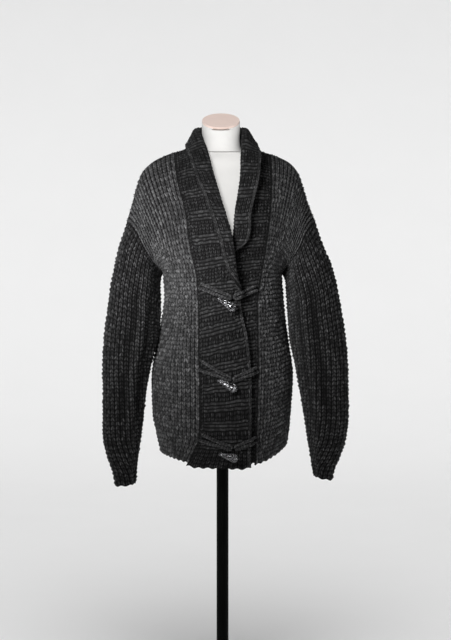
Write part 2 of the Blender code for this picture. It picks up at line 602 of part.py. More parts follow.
def welt_groups(side):
    """Middles of the groups of welts along the band, closer together below the roll than above it."""
    stations, knots = band_path(side)
    break_at = np.interp(UNDERARM, stations[:, 2][:BELOW_SHOULDER], knots[:BELOW_SHOULDER])
    below = np.arange(break_at - 0.030, 0.03, -LOWER_PITCH)
    above = np.arange(break_at + 0.024, knots[-1] - 0.02, UPPER_PITCH)
    return np.sort(np.concatenate([below, above])), knots[-1]


def welt_height(run, groups):
    """Three ridges to a group, between grooves, and level knitting between the groups."""
    near = np.abs(run[:, None] - groups[None, :]).min(axis=1) / WELT
    wave = np.cos(2 * math.pi * near)
    fade = np.clip((1.75 - near) / 0.25, 0, 1)
    return WELT_RISE * wave * fade


def edge_runs(side, body_edge):
    """Distances along the band of the body edge's own points, and of the rows of the plain inner surface."""
    stations, knots = band_path(side)
    run = np.linspace(0, knots[-1], 400)
    seam_run = lengths(stations[:, 0:3])
    fraction = cubic(knots, seam_run[:, None] / seam_run[-1], run)[:, 0]
    edge_run = lengths(body_edge[0])
    own = np.interp(edge_run / edge_run[-1], fraction, run)
    fronts = BODY_ROWS - 1
    shared = own[np.append(np.arange(fronts), np.arange(fronts, len(own), INNER_COLUMNS))]
    count = np.ceil(np.diff(shared) / INNER_SPACING).astype(int)
    count[fronts:] = 1
    between = [np.linspace(a, b, n, endpoint=False) for a, b, n in zip(shared[:-1], shared[1:], count)]
    return own, np.concatenate([*between, shared[-1:]])


def welt_runs(groups, end):
    """Distances of the rows: at each ridge and groove, and at the ends."""
    steps = np.array([-1.5, -1.0, -0.5, 0.0, 0.5, 1.0, 1.5]) * WELT
    runs = (groups[:, None] + steps[None, :]).reshape(-1)
    runs = runs[(runs > 0.004) & (runs < end - 0.004)]
    return np.concatenate([[0.0], runs, [end]])


def make_band(side, body_edge, finish):
    groups, end = welt_groups(side)
    own_run, plain_run = edge_runs(side, body_edge)
    run = np.unique(np.concatenate([welt_runs(groups, end), own_run, plain_run]))
    run = run[np.append(np.diff(run) > 1e-5, True)]
    share = np.array([0, 0.5, 1, 1.33, 1.66, 2, 2.5, 3.0])
    point, out = band_surface(side, run, share, body_edge)
    point = trimmed(point, ("first_column", "last_row"))
    rise = welt_height(run, groups)[:, None, None] * out
    on_face = np.clip(1 - (share - 1) / 1.0, 0, 1)[None, :, None]
    face, inside = point + rise * on_face, point - out * WALL - rise * (1 - on_face)
    plain = np.unique(np.abs(run[:, None] - plain_run[None, :]).argmin(axis=0))
    return wall("band_" + side, face, inside[plain], finish, rows_at=(run, run[plain]))


# --- sleeves -----------------------------------------------------------------
def sleeve_rings(side, armhole):
    """Rings down the sleeve, from the armhole to the cuff: flattened ovals with a crease in front."""
    table = np.asarray(RIGHT_SLEEVE if side == "right" else LEFT_SLEEVE)
    outer_x, outer_z, inner_x, inner_z, middle_y, depth = table.T
    angle = np.linspace(0, 2 * math.pi, RING_POINTS, endpoint=False)[None, :]
    e = 2 / SECTION_POWER
    ridge = np.exp(-(((angle - CREASE_ANGLE) / CREASE_WIDTH) ** 2))
    trough = np.exp(-(((angle - CREASE_ANGLE - TROUGH_STEP) / TROUGH_WIDTH) ** 2))
    grow = 1 + CREASE * ridge - CREASE * trough
    across, deep = power(np.cos(angle), e) * grow, power(np.sin(angle), e) * grow
    middle_x, middle_z = (outer_x + inner_x) / 2, (outer_z + inner_z) / 2
    x = middle_x[:, None] + ((outer_x - inner_x) / 2)[:, None] * across
    z = middle_z[:, None] + ((outer_z - inner_z) / 2)[:, None] * across
    y = middle_y[:, None] - depth[:, None] * deep
    run = lengths(armhole)
    at = np.linspace(0, run[-1], RING_POINTS, endpoint=False)
    first = np.stack([np.interp(at, run, armhole[:, k]) for k in range(3)], axis=-1)
    return np.concatenate([first[None], np.stack([x, y, z], axis=-1)])


def sleeve_grid(side, armhole, rows, pitch):
    """Columns a fixed distance apart from the outer line, taken in one by one at the inner seam.

    The first row lies on the body's armhole, points and normals alike.
    """
    rings = sleeve_rings(side, armhole[0])
    knots = lengths(rings.mean(axis=1))
    at = np.linspace(0, knots[-1], rows)
    dense = cubic(knots, rings.reshape(len(rings), -1), at).reshape(rows, RING_POINTS, 3)
    looped = np.concatenate([dense, dense[:, :1]], axis=1)
    widest = np.linalg.norm(np.diff(looped, axis=1), axis=2).sum(axis=1).max()
    count = int(np.ceil(widest / 2 / pitch))
    place = np.arange(-count, count) * pitch
    grid, out = np.empty((rows, 2 * count, 3)), np.empty((2 * count, 3))
    at_seam = np.zeros((rows, 2 * count), bool)
    for row in range(rows):
        line = armhole[0] if row == 0 else looped[row]
        run = lengths(line)
        at_seam[row] = np.abs(place) > run[-1] / 2 - pitch / 3
        where = np.where(at_seam[row], run[-1] / 2, place) % run[-1]
        for k in range(3):
            grid[row, :, k] = np.interp(where, run, line[:, k])
            if row == 0:
                out[:, k] = np.interp(where, run, armhole[1][:, k])
    at_seam[:, 0] = True
    normal = ring_normals(grid)
    normal[0] = out / np.linalg.norm(out, axis=-1, keepdims=True)
    return grid, normal, at_seam


def ring_normals(grid):
    """Unit normals of a closed grid, away from each row's middle."""
    wide = np.concatenate([grid[:, -1:], grid, grid[:, :1]], axis=1)
    across = wide[:, 2:] - wide[:, :-2]
    out = np.cross(across, np.gradient(grid, axis=0))
    away = grid - grid.mean(axis=1, keepdims=True)
    out *= np.sign((out * away).sum(axis=-1, keepdims=True))
    return out / np.maximum(np.linalg.norm(out, axis=-1, keepdims=True), 1e-12)


def seam_normals(out, at_seam):
    """One normal for each row's seam: the mean of the normals of the columns taken in there."""
    total = (out * at_seam[..., None]).sum(axis=1, keepdims=True)
    return total / np.maximum(np.linalg.norm(total, axis=-1, keepdims=True), 1e-12)


def make_sleeve(side, armhole, finish):
    grid, out, at_seam = sleeve_grid(side, armhole, SLEEVE_ROWS, WALE / 2)
    ridge = np.arange(grid.shape[1]) % 2 == 0
    height = np.where(at_seam, 0.0, np.where(ridge, RIB_RISE, -RIB_RISE)[None, :])
    out = np.where(at_seam[..., None], seam_normals(out, at_seam), out)
    grid = trimmed(grid, ("first_row",))
    outer = grid + out * height[..., None]
    inner = grid - out * WALL
    return wall("sleeve_" + side, outer, inner[:, ::SLEEVE_INNER], finish, closed=True)


# --- dress form and stand ----------------------------------------------------
def loft(name, rings, finish):
    """A closed solid through rings of equal count, with flat ends."""
    rings = np.asarray(rings)
    rows, columns = rings.shape[:2]
    faces = quads(rows, columns, closed=True).tolist()
    faces += [list(range(columns))[::-1], list(range((rows - 1) * columns, rows * columns))]
    mesh = bpy.data.meshes.new(name)
    mesh.from_pydata(rings.reshape(-1, 3).tolist(), [], faces)
    mesh.shade_smooth()
    mesh.set_sharp_from_angle(angle=math.radians(40))
    return add_object(name, mesh, finish)


def oval(width, front, behind, height, count, middle=(0.0, 0.0)):
    angle = np.linspace(0, 2 * math.pi, count, endpoint=False)
    e = 2 / SECTION_POWER
    across, deep = power(np.cos(angle), e), power(np.sin(angle), e)
    y = middle[1] + np.where(deep < 0, front, behind) * deep
    return np.stack([middle[0] + width * across, y, np.full(count, height)], axis=-1)


# --- cords and toggles -------------------------------------------------------
def front_of(names):
    """A search tree over the named pieces, for what is laid on them."""
    points, faces = [], []
    for name in names:
        mesh = bpy.data.objects[name].data
        first = len(points)
        points += [vertex.co.copy() for vertex in mesh.vertices]
        faces += [[first + index for index in face.vertices] for face in mesh.polygons]
    return BVHTree.FromPolygons(points, faces)


def laid_on(tree, x, z, radius):
    """The y at which a ball of this radius just clears the front, seen from ahead."""
    nearest = 0.0
    for turn in range(12):
        angle = turn * math.pi / 6
        for share in (0.0, 0.6, 0.9, 1.0):
            from_point = (x + share * radius * math.cos(angle), -0.5, z + share * radius * math.sin(angle))
            hit = tree.ray_cast(from_point, (0, 1, 0))[0]
            if hit is not None:
                nearest = min(nearest, hit.y - math.sqrt(1 - share**2) * radius)
    return nearest - LIFT_CLEAR


def laid_path(tree, flat, radii):
    """A path in front of the tree's pieces through the given x and z, clear of them along each stretch too."""
    y = np.array([laid_on(tree, x, z, radius) for (x, z), radius in zip(flat, radii)])
    for share in (0.15, 0.3, 0.5, 0.7, 0.85):
        for i in range(len(flat) - 1):
            x, z = flat[i] + (flat[i + 1] - flat[i]) * share
            radius = radii[i] + (radii[i + 1] - radii[i]) * share
            short = laid_on(tree, x, z, radius) - (y[i] + (y[i + 1] - y[i]) * share)
            y[i:i + 2] += min(short, 0.0)
    return np.stack([flat[:, 0], y, flat[:, 1]], axis=-1)


def tube(name, path, radii, sides, finish):
    """A closed tube of the given radii along a path."""
    heading = np.gradient(path, axis=0)
    heading /= np.linalg.norm(heading, axis=1, keepdims=True)
    side = np.cross(heading, (0.0, 1.0, 0.0))
    side /= np.linalg.norm(side, axis=1, keepdims=True)
    other = np.cross(heading, side)
    angle = np.linspace(0, 2 * math.pi, sides, endpoint=False)[None, :, None]
    ring = np.cos(angle) * side[:, None] + np.sin(angle) * other[:, None]
    return loft(name, path[:, None] + ring * np.asarray(radii)[:, None, None], finish)


def make_cord(tree, name, start_x, start_z, end_x, end_z, spread, finish):
    """Two strands sewn down together at the seam, joined by a bend at the free end."""
    start, end = np.array([start_x, start_z]), np.array([end_x, end_z])
    heading = (end - start) / np.linalg.norm(end - start)
    side = np.array([-heading[1], heading[0]])
    count = 3 + int(round(np.linalg.norm(end - start) / 0.022))
    t = np.linspace(0, 1, count)[:, None]
    middle = start + (end - start) * t
    apart = (spread + (CORD_PITCH - spread) * np.minimum(1, 1.4 * t)) / 2
    angle = np.linspace(math.pi / 2, -math.pi / 2, 6)[1:-1, None]
    bend = end + CORD_PITCH / 2 * (heading * np.cos(angle) + side * np.sin(angle))
    flat = np.concatenate([middle + side * apart, bend, (middle - side * apart)[::-1]])
    radii = np.full(len(flat), CORD_RADIUS)
    tube(name, laid_path(tree, flat, radii), radii, CORD_SIDES, finish)


def seated(tree, path, radii):
    """The path moved back until the tube round it comes as near to the tree's pieces as it may."""
    angle = np.arange(16) * math.pi / 8
    for again in range(8):
        around = path[:, None] + np.asarray(radii)[:, None, None] * np.stack([0 * angle, np.cos(angle), np.sin(angle)], -1)
        nearest = min(tree.find_nearest(point)[3] for point in around.reshape(-1, 3))
        path[:, 1] += max(nearest - SEAT_CLEAR, 0.0)
    return path


def make_toggle(tree, number, narrow_x, narrow_z, wide_x, wide_z, finish):
    """A turned cone with a round wide end, straight, laid on the band and its cords."""
    profile = np.array(TOGGLE_PROFILE)
    ends = np.array([(narrow_x, narrow_z), (wide_x, wide_z)])
    path = laid_path(tree, ends[0] + (ends[1] - ends[0]) * profile[:, :1], profile[:, 1])
    slope = np.polyfit(profile[:, 0], path[:, 1], 1)
    line = np.polyval(slope, profile[:, 0])
    path[:, 1] = line + (path[:, 1] - line).min()
    path = seated(tree, path, profile[:, 1])
    tube("toggle_" + str(number), path, profile[:, 1], TOGGLE_SIDES, finish)


def make_form(cover, cap_finish, metal):
    rows = np.asarray(TORSO)
    levels = np.concatenate([np.linspace(rows[0, 0], CHEST_TOP, 11)[:-1], np.linspace(CHEST_TOP, rows[-1, 0], 7)])
    shape = cubic(rows[:, 0], rows[:, 1:], levels)
    shift = NECK_X * np.clip((levels - UNDERARM) / (rows[-1, 0] - UNDERARM), 0, 1)
    loft("form_torso", [oval(*values, level, 24, (x, 0)) for values, level, x in zip(shape, levels, shift)], cover)
    top = oval(NECK_RADIUS, NECK_RADIUS, NECK_RADIUS, 0.0, 28)
    rings = []
    for level, radius, lean in NECK_RINGS:
        ring = top * (radius / NECK_RADIUS) + (NECK_X, NECK_Y * lean, level)
        ring[:, 2] += lean**4 * math.tan(NECK_TILT) * (ring[:, 1] - NECK_Y * lean)
        rings.append(ring)
    loft("form_neck", rings, cover)
    bpy.ops.mesh.primitive_cylinder_add(
        vertices=32, radius=CAP_RADIUS, depth=CAP_HEIGHT,
        location=(NECK_X, NECK_Y, NECK_TOP + CAP_HEIGHT / 2 + CAP_LIFT), rotation=(NECK_TILT, 0, 0),
    )
    own_primitive("form_neck_cap", cap_finish)
    bpy.ops.mesh.primitive_cylinder_add(
        vertices=24, radius=POLE_RADIUS, depth=TORSO_BOTTOM - BASE_HEIGHT - 2 * PART_GAP,
        location=(0, 0, (TORSO_BOTTOM + BASE_HEIGHT) / 2),
    )
    own_primitive("stand_pole", metal)
    bpy.ops.mesh.primitive_cylinder_add(
        vertices=40, radius=BASE_RADIUS, depth=BASE_HEIGHT, location=(0, 0, BASE_HEIGHT / 2)
    )
    base = own_primitive("stand_base", metal)
    edge = base.modifiers.new("rounded rim", "BEVEL")
    edge.width, edge.segments, edge.limit_method = 0.0015, 1, "ANGLE"


def own_primitive(name, finish):
    made = bpy.context.object
    made.name = made.data.name = name
    made.data.materials.append(finish)
    for other in list(made.users_collection):
        other.objects.unlink(made)
    CLOTH.objects.link(made)
    made.data.shade_smooth()
    made.data.set_sharp_from_angle(angle=math.radians(40))
    return made


def main():
    clear_scene()
    wool = material("charcoal_wool", (0.035, 0.036, 0.038), 0.9)
    cover = material("form_cover", (0.86, 0.85, 0.83), 0.8)
    cap = material("form_cap", (0.72, 0.60, 0.52), 0.7)
    crystal = material("toggle_crystal", (0.30, 0.30, 0.31), 0.25, 0.8)
    metal = material("stand_metal", (0.01, 0.01, 0.011), 0.4, 0.6)
    edges, armholes = make_body(wool)
    make_band("right", edges["right"], wool)
    make_band("left", edges["left"], wool)
    make_sleeve("right", armholes["right"], wool)
    make_sleeve("left", armholes["left"], wool)
    front = ("band_right", "band_left", "front_right", "front_left")
    tree = front_of(front)
    for cord in CORDS:
        make_cord(tree, *cord, wool)
    tree = front_of(front + tuple(cord[0] for cord in CORDS))
    for number, ends in enumerate(TOGGLES, 1):
        make_toggle(tree, number, *ends, crystal)
    make_form(cover, cap, metal)


main()
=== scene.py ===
"""Knitted looks for a shawl collar cardigan on its dress form: a Blender add-on, run as a script.

Every cloth piece is a surface worked out on a grid from the same sizes as its solid. Its outer
points are raised into knitted stitches, and its inner points lie one wall inside. Metres, +Z up,
front towards -Y. "right" and "left" are the wearer's, so the right front is at -X.
"""

import math

import bmesh
import bpy
import numpy as np
from bpy.props import FloatProperty, FloatVectorProperty, IntProperty, PointerProperty
from bpy.types import Operator, Panel, PropertyGroup
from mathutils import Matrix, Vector
from mathutils.bvhtree import BVHTree


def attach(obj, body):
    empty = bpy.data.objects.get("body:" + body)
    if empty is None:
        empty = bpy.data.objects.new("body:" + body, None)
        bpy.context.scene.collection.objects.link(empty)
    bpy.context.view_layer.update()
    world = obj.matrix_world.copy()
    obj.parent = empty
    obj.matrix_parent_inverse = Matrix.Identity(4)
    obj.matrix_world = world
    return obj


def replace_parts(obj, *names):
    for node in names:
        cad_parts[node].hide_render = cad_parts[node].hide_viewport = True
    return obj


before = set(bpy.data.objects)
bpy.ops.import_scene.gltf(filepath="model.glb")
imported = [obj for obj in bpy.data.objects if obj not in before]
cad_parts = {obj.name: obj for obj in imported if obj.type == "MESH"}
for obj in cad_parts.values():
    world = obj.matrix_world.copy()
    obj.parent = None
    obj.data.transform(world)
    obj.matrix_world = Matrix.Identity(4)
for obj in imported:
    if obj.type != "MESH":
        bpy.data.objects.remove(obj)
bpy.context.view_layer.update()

bl_info = {
    "name": "Shawl Collar Cardigan",
    "version": (1, 0, 0),
    "blender": (4, 5, 0),
    "location": "3D View > Sidebar > Cardigan",
    "description": "Knits a bulky cardigan on a dress form, stitch by stitch",
    "category": "Add Mesh",
}

# --- sizes that the solids have too -------------------------------------------
UNDERARM = 1.105
HEM_LOW = 0.633  # the hem's height in front and behind
HEM_RISES = ((0.026, 1.5), (0.043, 3.0))  # to the right and left side seams: height, its power
BAND_DROP, DROP_REACH = 0.015, 0.035  # how far the right band's corner hangs, over what length
SECTION_POWER = 2.25  # 2 is an ellipse, more is squarer
NECK_TILT = math.radians(26)
NECK_X, NECK_Y = -0.004, -0.004  # where the form's neck stands at its top

# Body sections: height, side at -X, side at +X, depth in front, depth behind.
BODY = np.array((
    (0.630, -0.146, 0.148, 0.124, 0.120),
    (0.660, -0.155, 0.155, 0.131, 0.128),
    (0.690, -0.162, 0.163, 0.135, 0.133),
    (0.750, -0.1735, 0.169, 0.138, 0.138),
    (0.800, -0.176, 0.173, 0.138, 0.141),
    (0.860, -0.175, 0.175, 0.136, 0.142),
    (0.920, -0.166, 0.166, 0.132, 0.137),
    (0.975, -0.1535, 0.158, 0.131, 0.131),
    (1.035, -0.145, 0.152, 0.134, 0.130),
    (1.105, -0.147, 0.146, 0.136, 0.134),
))
# Bands below the roll: seam height, seam x, edge height, edge x, lift over the other band.
RIGHT_BAND = np.array((
    (0.6426, -0.0835, 0.628, 0.069, 0.0112),
    (0.668, -0.071, 0.664, 0.069, 0.0112),
    (0.700, -0.056, 0.702, 0.070, 0.0112),
    (0.760, -0.054, 0.770, 0.071, 0.0112),
    (0.840, -0.054, 0.862, 0.070, 0.0112),
    (0.920, -0.057, 0.950, 0.061, 0.0115),
    (0.985, -0.057, 1.012, 0.047, 0.0125),
    (1.040, -0.058, 1.058, 0.040, 0.0160),
))
LEFT_BAND = np.array((
    (0.639, 0.080, 0.636, -0.012, 0.0),
    (0.735, 0.084, 0.725, -0.012, 0.0),
    (0.860, 0.087, 0.850, -0.012, 0.0),
    (0.940, 0.087, 0.930, -0.012, 0.0),
    (1.040, 0.085, 1.025, -0.012, 0.0),
))
# Bands where they roll: seam x, y, z; roll x, y, z; bow of the section between them,
# width of the fall, radius of the roll, angle of the roll.
RIGHT_ROLL = np.array((
    (-0.060, -0.130, 1.067, 0.0380, -0.1530, 1.080, 0.009, 0.004, 0.0030, 110),
    (-0.062, -0.127, 1.098, 0.0335, -0.1560, 1.115, 0.009, 0.013, 0.0032, 166),
    (-0.080, -0.119, 1.178, 0.0240, -0.1530, 1.190, 0.009, 0.026, 0.0034, 170),
    (-0.089, -0.107, 1.253, 0.0025, -0.132, 1.265, 0.008, 0.030, 0.0036, 174),
    (-0.107, -0.078, 1.322, -0.020, -0.098, 1.338, 0.006, 0.036, 0.0040, 176),
    (-0.116, -0.042, 1.377, -0.036, -0.062, 1.403, 0.001, 0.038, 0.0048, 176),
    (-0.119, 0.000, 1.404, -0.0535, -0.012, 1.452, -0.012, 0.037, 0.0054, 177),
    (-0.098, 0.052, 1.398, -0.049, 0.038, 1.465, -0.012, 0.050, 0.0060, 175),
    (-0.052, 0.084, 1.388, -0.027, 0.062, 1.467, -0.012, 0.064, 0.0060, 163),
    (-0.0003, 0.093, 1.384, -0.0003, 0.068, 1.468, -0.012, 0.068, 0.0060, 161),
))
LEFT_ROLL = np.array((
    (0.096, -0.110, 1.105, -0.012, -0.131, 1.090, 0.004, 0.012, 0.0030, 2),
    (0.102, -0.107, 1.140, -0.003, -0.130, 1.131, 0.004, 0.004, 0.0030, 60),
    (0.108, -0.103, 1.178, 0.020, -0.128, 1.172, 0.005, 0.026, 0.0034, 170),
    (0.117, -0.091, 1.253, 0.030, -0.124, 1.250, 0.006, 0.032, 0.0036, 176),
    (0.1205, -0.068, 1.322, 0.0425, -0.094, 1.330, 0.006, 0.038, 0.0040, 176),
    (0.120, -0.036, 1.372, 0.0455, -0.058, 1.395, 0.001, 0.038, 0.0048, 176),
    (0.119, 0.000, 1.399, 0.0475, -0.012, 1.450, -0.011, 0.036, 0.0054, 177),
    (0.096, 0.052, 1.396, 0.042, 0.038, 1.464, -0.012, 0.049, 0.0060, 175),
    (0.052, 0.084, 1.388, 0.025, 0.062, 1.467, -0.012, 0.064, 0.0060, 163),
    (0.0003, 0.093, 1.384, 0.0003, 0.068, 1.468, -0.012, 0.068, 0.0060, 161),
))
# Shoulder seams from the band outwards, the back's neck edge from right to left, which the rolls'
# seams follow, and the right armhole from the underarm up: x, y, z.
RIGHT_SHOULDER = np.array((
    (-0.119, 0.000, 1.404), (-0.145, 0.000, 1.394), (-0.174, 0.000, 1.379),
    (-0.198, 0.000, 1.356), (-0.213, 0.000, 1.320), (-0.224, 0.000, 1.280),
    (-0.239, 0.000, 1.230),
))
LEFT_SHOULDER = np.array((
    (0.119, 0.000, 1.399), (0.145, 0.000, 1.389), (0.168, 0.000, 1.376),
    (0.187, 0.000, 1.354), (0.199, 0.000, 1.320), (0.212, 0.000, 1.280),
    (0.232, 0.000, 1.230),
))
BACK_NECK = np.concatenate([RIGHT_ROLL[6:9, :3], [(0.000, 0.093, 1.384)], LEFT_ROLL[8:5:-1, :3]])
RIGHT_ARMHOLE = np.array((
    (-0.147, 0.000, 1.105), (-0.170, -0.034, 1.130), (-0.194, -0.056, 1.168),
    (-0.212, -0.050, 1.206), (-0.228, -0.027, 1.224), (-0.239, 0.000, 1.230),
))
# Sleeves below the armhole: outer x and z, inner x and z, middle y, half depth.
RIGHT_SLEEVE = np.array((
    (-0.254, 1.180, -0.1555, 1.082, -0.004, 0.060),
    (-0.266, 1.130, -0.1545, 1.048, -0.012, 0.062),
    (-0.275, 1.085, -0.1535, 1.010, -0.022, 0.062),
    (-0.283, 1.025, -0.1552, 0.975, -0.034, 0.060),
    (-0.291, 0.960, -0.1602, 0.935, -0.046, 0.058),
    (-0.296, 0.890, -0.1745, 0.885, -0.048, 0.056),
    (-0.296, 0.810, -0.1890, 0.810, -0.046, 0.053),
    (-0.296, 0.740, -0.1970, 0.740, -0.044, 0.050),
    (-0.295, 0.685, -0.2040, 0.685, -0.042, 0.046),
    (-0.285, 0.645, -0.2100, 0.645, -0.041, 0.040),
    (-0.272, 0.605, -0.2140, 0.606, -0.040, 0.034),
    (-0.267, 0.577, -0.2160, 0.583, -0.040, 0.033),
))
LEFT_SLEEVE = np.array((
    (0.247, 1.180, 0.1570, 1.082, -0.004, 0.060),
    (0.268, 1.130, 0.1595, 1.048, -0.012, 0.062),
    (0.281, 1.085, 0.1615, 1.010, -0.022, 0.062),
    (0.292, 1.025, 0.1635, 0.975, -0.034, 0.060),
    (0.302, 0.960, 0.1670, 0.935, -0.046, 0.058),
    (0.309, 0.890, 0.1780, 0.885, -0.048, 0.056),
    (0.311, 0.810, 0.1920, 0.810, -0.046, 0.053),
    (0.312, 0.740, 0.2040, 0.740, -0.044, 0.050),
    (0.3045, 0.685, 0.2125, 0.685, -0.042, 0.046),
    (0.2920, 0.648, 0.2190, 0.650, -0.041, 0.040),
    (0.2795, 0.618, 0.2230, 0.622, -0.040, 0.034),
    (0.2730, 0.592, 0.2265, 0.602, -0.040, 0.033),
))
# Dress form: height, half width, depth in front, depth behind.
TORSO = np.array((
    (0.790, 0.146, 0.100, 0.104),
    (0.800, 0.151, 0.105, 0.110),
    (0.860, 0.153, 0.108, 0.118),
    (0.930, 0.138, 0.103, 0.105),
    (1.010, 0.113, 0.094, 0.088),
    (1.090, 0.122, 0.106, 0.096),
    (1.160, 0.131, 0.113, 0.108),
    (1.230, 0.134, 0.096, 0.100),
    (1.290, 0.140, 0.072, 0.085),
    (1.337, 0.150, 0.055, 0.062),
    (1.364, 0.150, 0.042, 0.045),
    (1.382, 0.124, 0.038, 0.040),
    (1.3955, 0.082, 0.042, 0.044),
    (1.4030, 0.058, 0.046, 0.048),
))
# Neck: height, radius, how far it has leaned towards its top.
NECK_RINGS = np.array((
    (1.4033, 0.0540, 0.0), (1.4110, 0.0500, 0.1), (1.4250, 0.0475, 0.3),
    (1.4530, 0.0472, 0.7), (1.4770, 0.0475, 1.0),
))
# Toggles: x and z of the narrow end, x and z of the wide end.
TOGGLES = (
    (-0.0110, 1.0460, 0.0310, 1.0200),
    (-0.0110, 0.8480, 0.0330, 0.8250),
    (-0.0080, 0.6690, 0.0360, 0.6570),
)
# A toggle's outline: share of its length, radius.
TOGGLE_PROFILE = np.array((
    (0.00, 0.0030), (0.06, 0.0042), (0.35, 0.0062), (0.62, 0.0090),
    (0.80, 0.0110), (0.93, 0.0098), (1.00, 0.0062),
))
# Cord loops: sewn end x and z, loop end x and z, distance of the two strands at the sewn end.
CORDS = (
    ("cord_right_1", -0.0560, 1.0760, 0.0150, 1.0480, 0.0125),
    ("cord_right_2", -0.0555, 0.8830, 0.0150, 0.8510, 0.0230),
    ("cord_right_3", -0.0550, 0.7080, 0.0170, 0.6830, 0.0165),
    ("cord_left_1", 0.0850, 1.0700, 0.0330, 1.0490, 0.0110),
    ("cord_left_2", 0.0870, 0.8720, 0.0330, 0.8520, 0.0110),
    ("cord_left_3", 0.0840, 0.7020, 0.0370, 0.6840, 0.0110),
)
CORD_RADIUS, CORD_PITCH = 0.0041, 0.0090  # one strand, and from strand to strand side by side
LIFT_CLEAR = 0.0008  # what lies on the bands stays this far from them
SEAT_CLEAR = 0.0008  # and the toggles are pressed down to this
CREASE, CREASE_ANGLE, CREASE_WIDTH = 0.09, math.radians(114), 0.28
TROUGH_STEP, TROUGH_WIDTH = 0.62, 0.30
EDGE_SHARE = 0.4  # the band's length is measured this far from its seam to its edge
MIDDLE_LIFT = 1.12  # of the edge's lift
FLAT_FALL, FLAT_ROLL = 0.012, 0.0095  # the edge's share of the band where nothing is rolled
LOWER_PITCH, UPPER_PITCH = 0.047, 0.059  # from one group of welts to the next
LAST_BELOW, FIRST_ABOVE = 0.030, 0.024  # from the underarm to the nearest group on either side
NECK_TURN = 0.083  # share of the back's columns in which its edge turns from shoulder to neck
YOKE_CLEAR = 0.03  # above the underarm, where a front's edge starts to follow the roll's rows
BELOW_SHOULDER = 8  # a band's first rows, whose heights only rise
RING_POINTS = 128  # round each of a sleeve's rings

# --- sizes of the knitting -----------------------------------------------------
FRONT_WALES, BACK_WALES, BAND_WALES, CORD_WALES = 18, 48, 14, 4
SKIRT_ROWS, YOKE_ROWS, SLEEVE_ROWS = 44, 28, 60
SLEEVE_WALE, CORD_ROW = 0.0125, 0.0072
WELT, PLAIN_ROW = 0.0085, 0.0088  # heights of a purl ridge and of a plain row on the bands
LEG_REACH = 0.62  # half the width of a leg's curve, and the share of its rise that lies inside
BACK_RELIEF = 0.45  # of the face's relief, on the band's other side
# The inside's relief sets its painted shade: darker than a crest, lighter than a gap.
INNER_RELIEF = 0.6  # what the plain inside counts as, between a gap's 0 and a crest's 1
CORNER_LIFT, CORNERS = 0.0060, (1.2, 1.0)  # of the bands, and its reach in wales from each edge
CREASE_AT = 0.62  # share of half the sleeve's girth from its outer line to its crease
FINE = (6, 4)  # points to a stitch: across a wale, along a row
BACK_FINE = (4, 4)
CORD_FINE = 4
# Columns and rows of the smooth surfaces under the stitches.
FRONT_COLUMNS, BACK_COLUMNS = FRONT_WALES * FINE[0], BACK_WALES * BACK_FINE[0]
SKIRT_STEPS, YOKE_STEPS = 160, 110
TOGGLE_RINGS, TOGGLE_SIDES = 33, 24
TOGGLE_CORE = 0.93  # of the toggle's outline, under its stones
STONE_LEVELS = ((-0.25, 0.50), (0.10, 0.50), (0.36, 0.26))  # height and radius, of its width
STONE_SIDES = 6
SEED = 7
# Added to the seed for the random draws of each piece. The toggles' draws don't use the seed.
DRAWS = {
    "front_right": 3, "front_left": 5, "back": 9, "band_right": 31, "band_left": 47,
    "sleeve_right": 61, "sleeve_left": 73, "noise": 500, "toggle": 100,
}
# How many stitches in from a sewn or open edge the relief is whole.
BODY_FADE = {"bottom": 0.3, "top": 0.4, "first": 0.3, "last": 0.4}
BAND_FADE = {"bottom": 0.5, "top": 0.01, "first": 0.5, "last": 0.01}
SLEEVE_FADE = {"bottom": 0.6, "top": 0.5}

# --- finishes and stage ----------------------------------------------------------
# The bands' and sleeves' tones below 1 are painted shade over their whole parts.
BODY_TONE, BAND_PAINTED_SHADE, SLEEVE_PAINTED_SHADE, CORD_TONE = 1.0, 0.42, 0.62, 1.0  # of one yarn
BANDS = ("band_right_knit", "band_left_knit")
FORM_PIECES = ("form_torso_cover", "form_neck_cover", "form_neck_cap")
# Where each light hangs, and where it is aimed: x, y, z.
KEY_LINE = ((-0.55, -1.2, 1.50), (-0.05, -0.1, 1.13))
FORM_LINE = ((-0.4, -3.1, 2.2), (0.0, 0.0, 1.3))
WALL_LINE = ((0.0, -3.0, 3.2), (0.0, 0.0, 0.0))
SEEN_GREY = 0.846  # what the camera sees past the backdrop
# The floor's front edge, the backdrop's place, height and half width, and the bend's radius.
FLOOR_FRONT, BACKDROP_Y, BACKDROP_TOP, BACKDROP_HALF, SWEEP = -9.0, 7.0, 14.0, 14, 3.5
LIGHT_SPREAD, SUN_SPREAD = math.radians(44), math.radians(40)
# The camera's place and tilt, and its sensor and lens in millimetres.
EYE, EYE_TILT, SENSOR, LENS = (0.0075, -4.0, 1.195), math.radians(87), 36.0, 90.0


# --- settings ------------------------------------------------------------------
def number(label, about, default, low=0.0, **more):
    """A number of at least low. More can give its max, unit or subtype."""
    return FloatProperty(name=label, description=about, default=default, min=low, **more)


def metres(label, about, default, high, low=0.0):
    """A length."""
    return number(label, about, default, low, max=high, unit="LENGTH")


def tint(label, about, default):
    """A colour."""
    return FloatVectorProperty(
        name=label, description=about, default=default, size=3, subtype="COLOR")


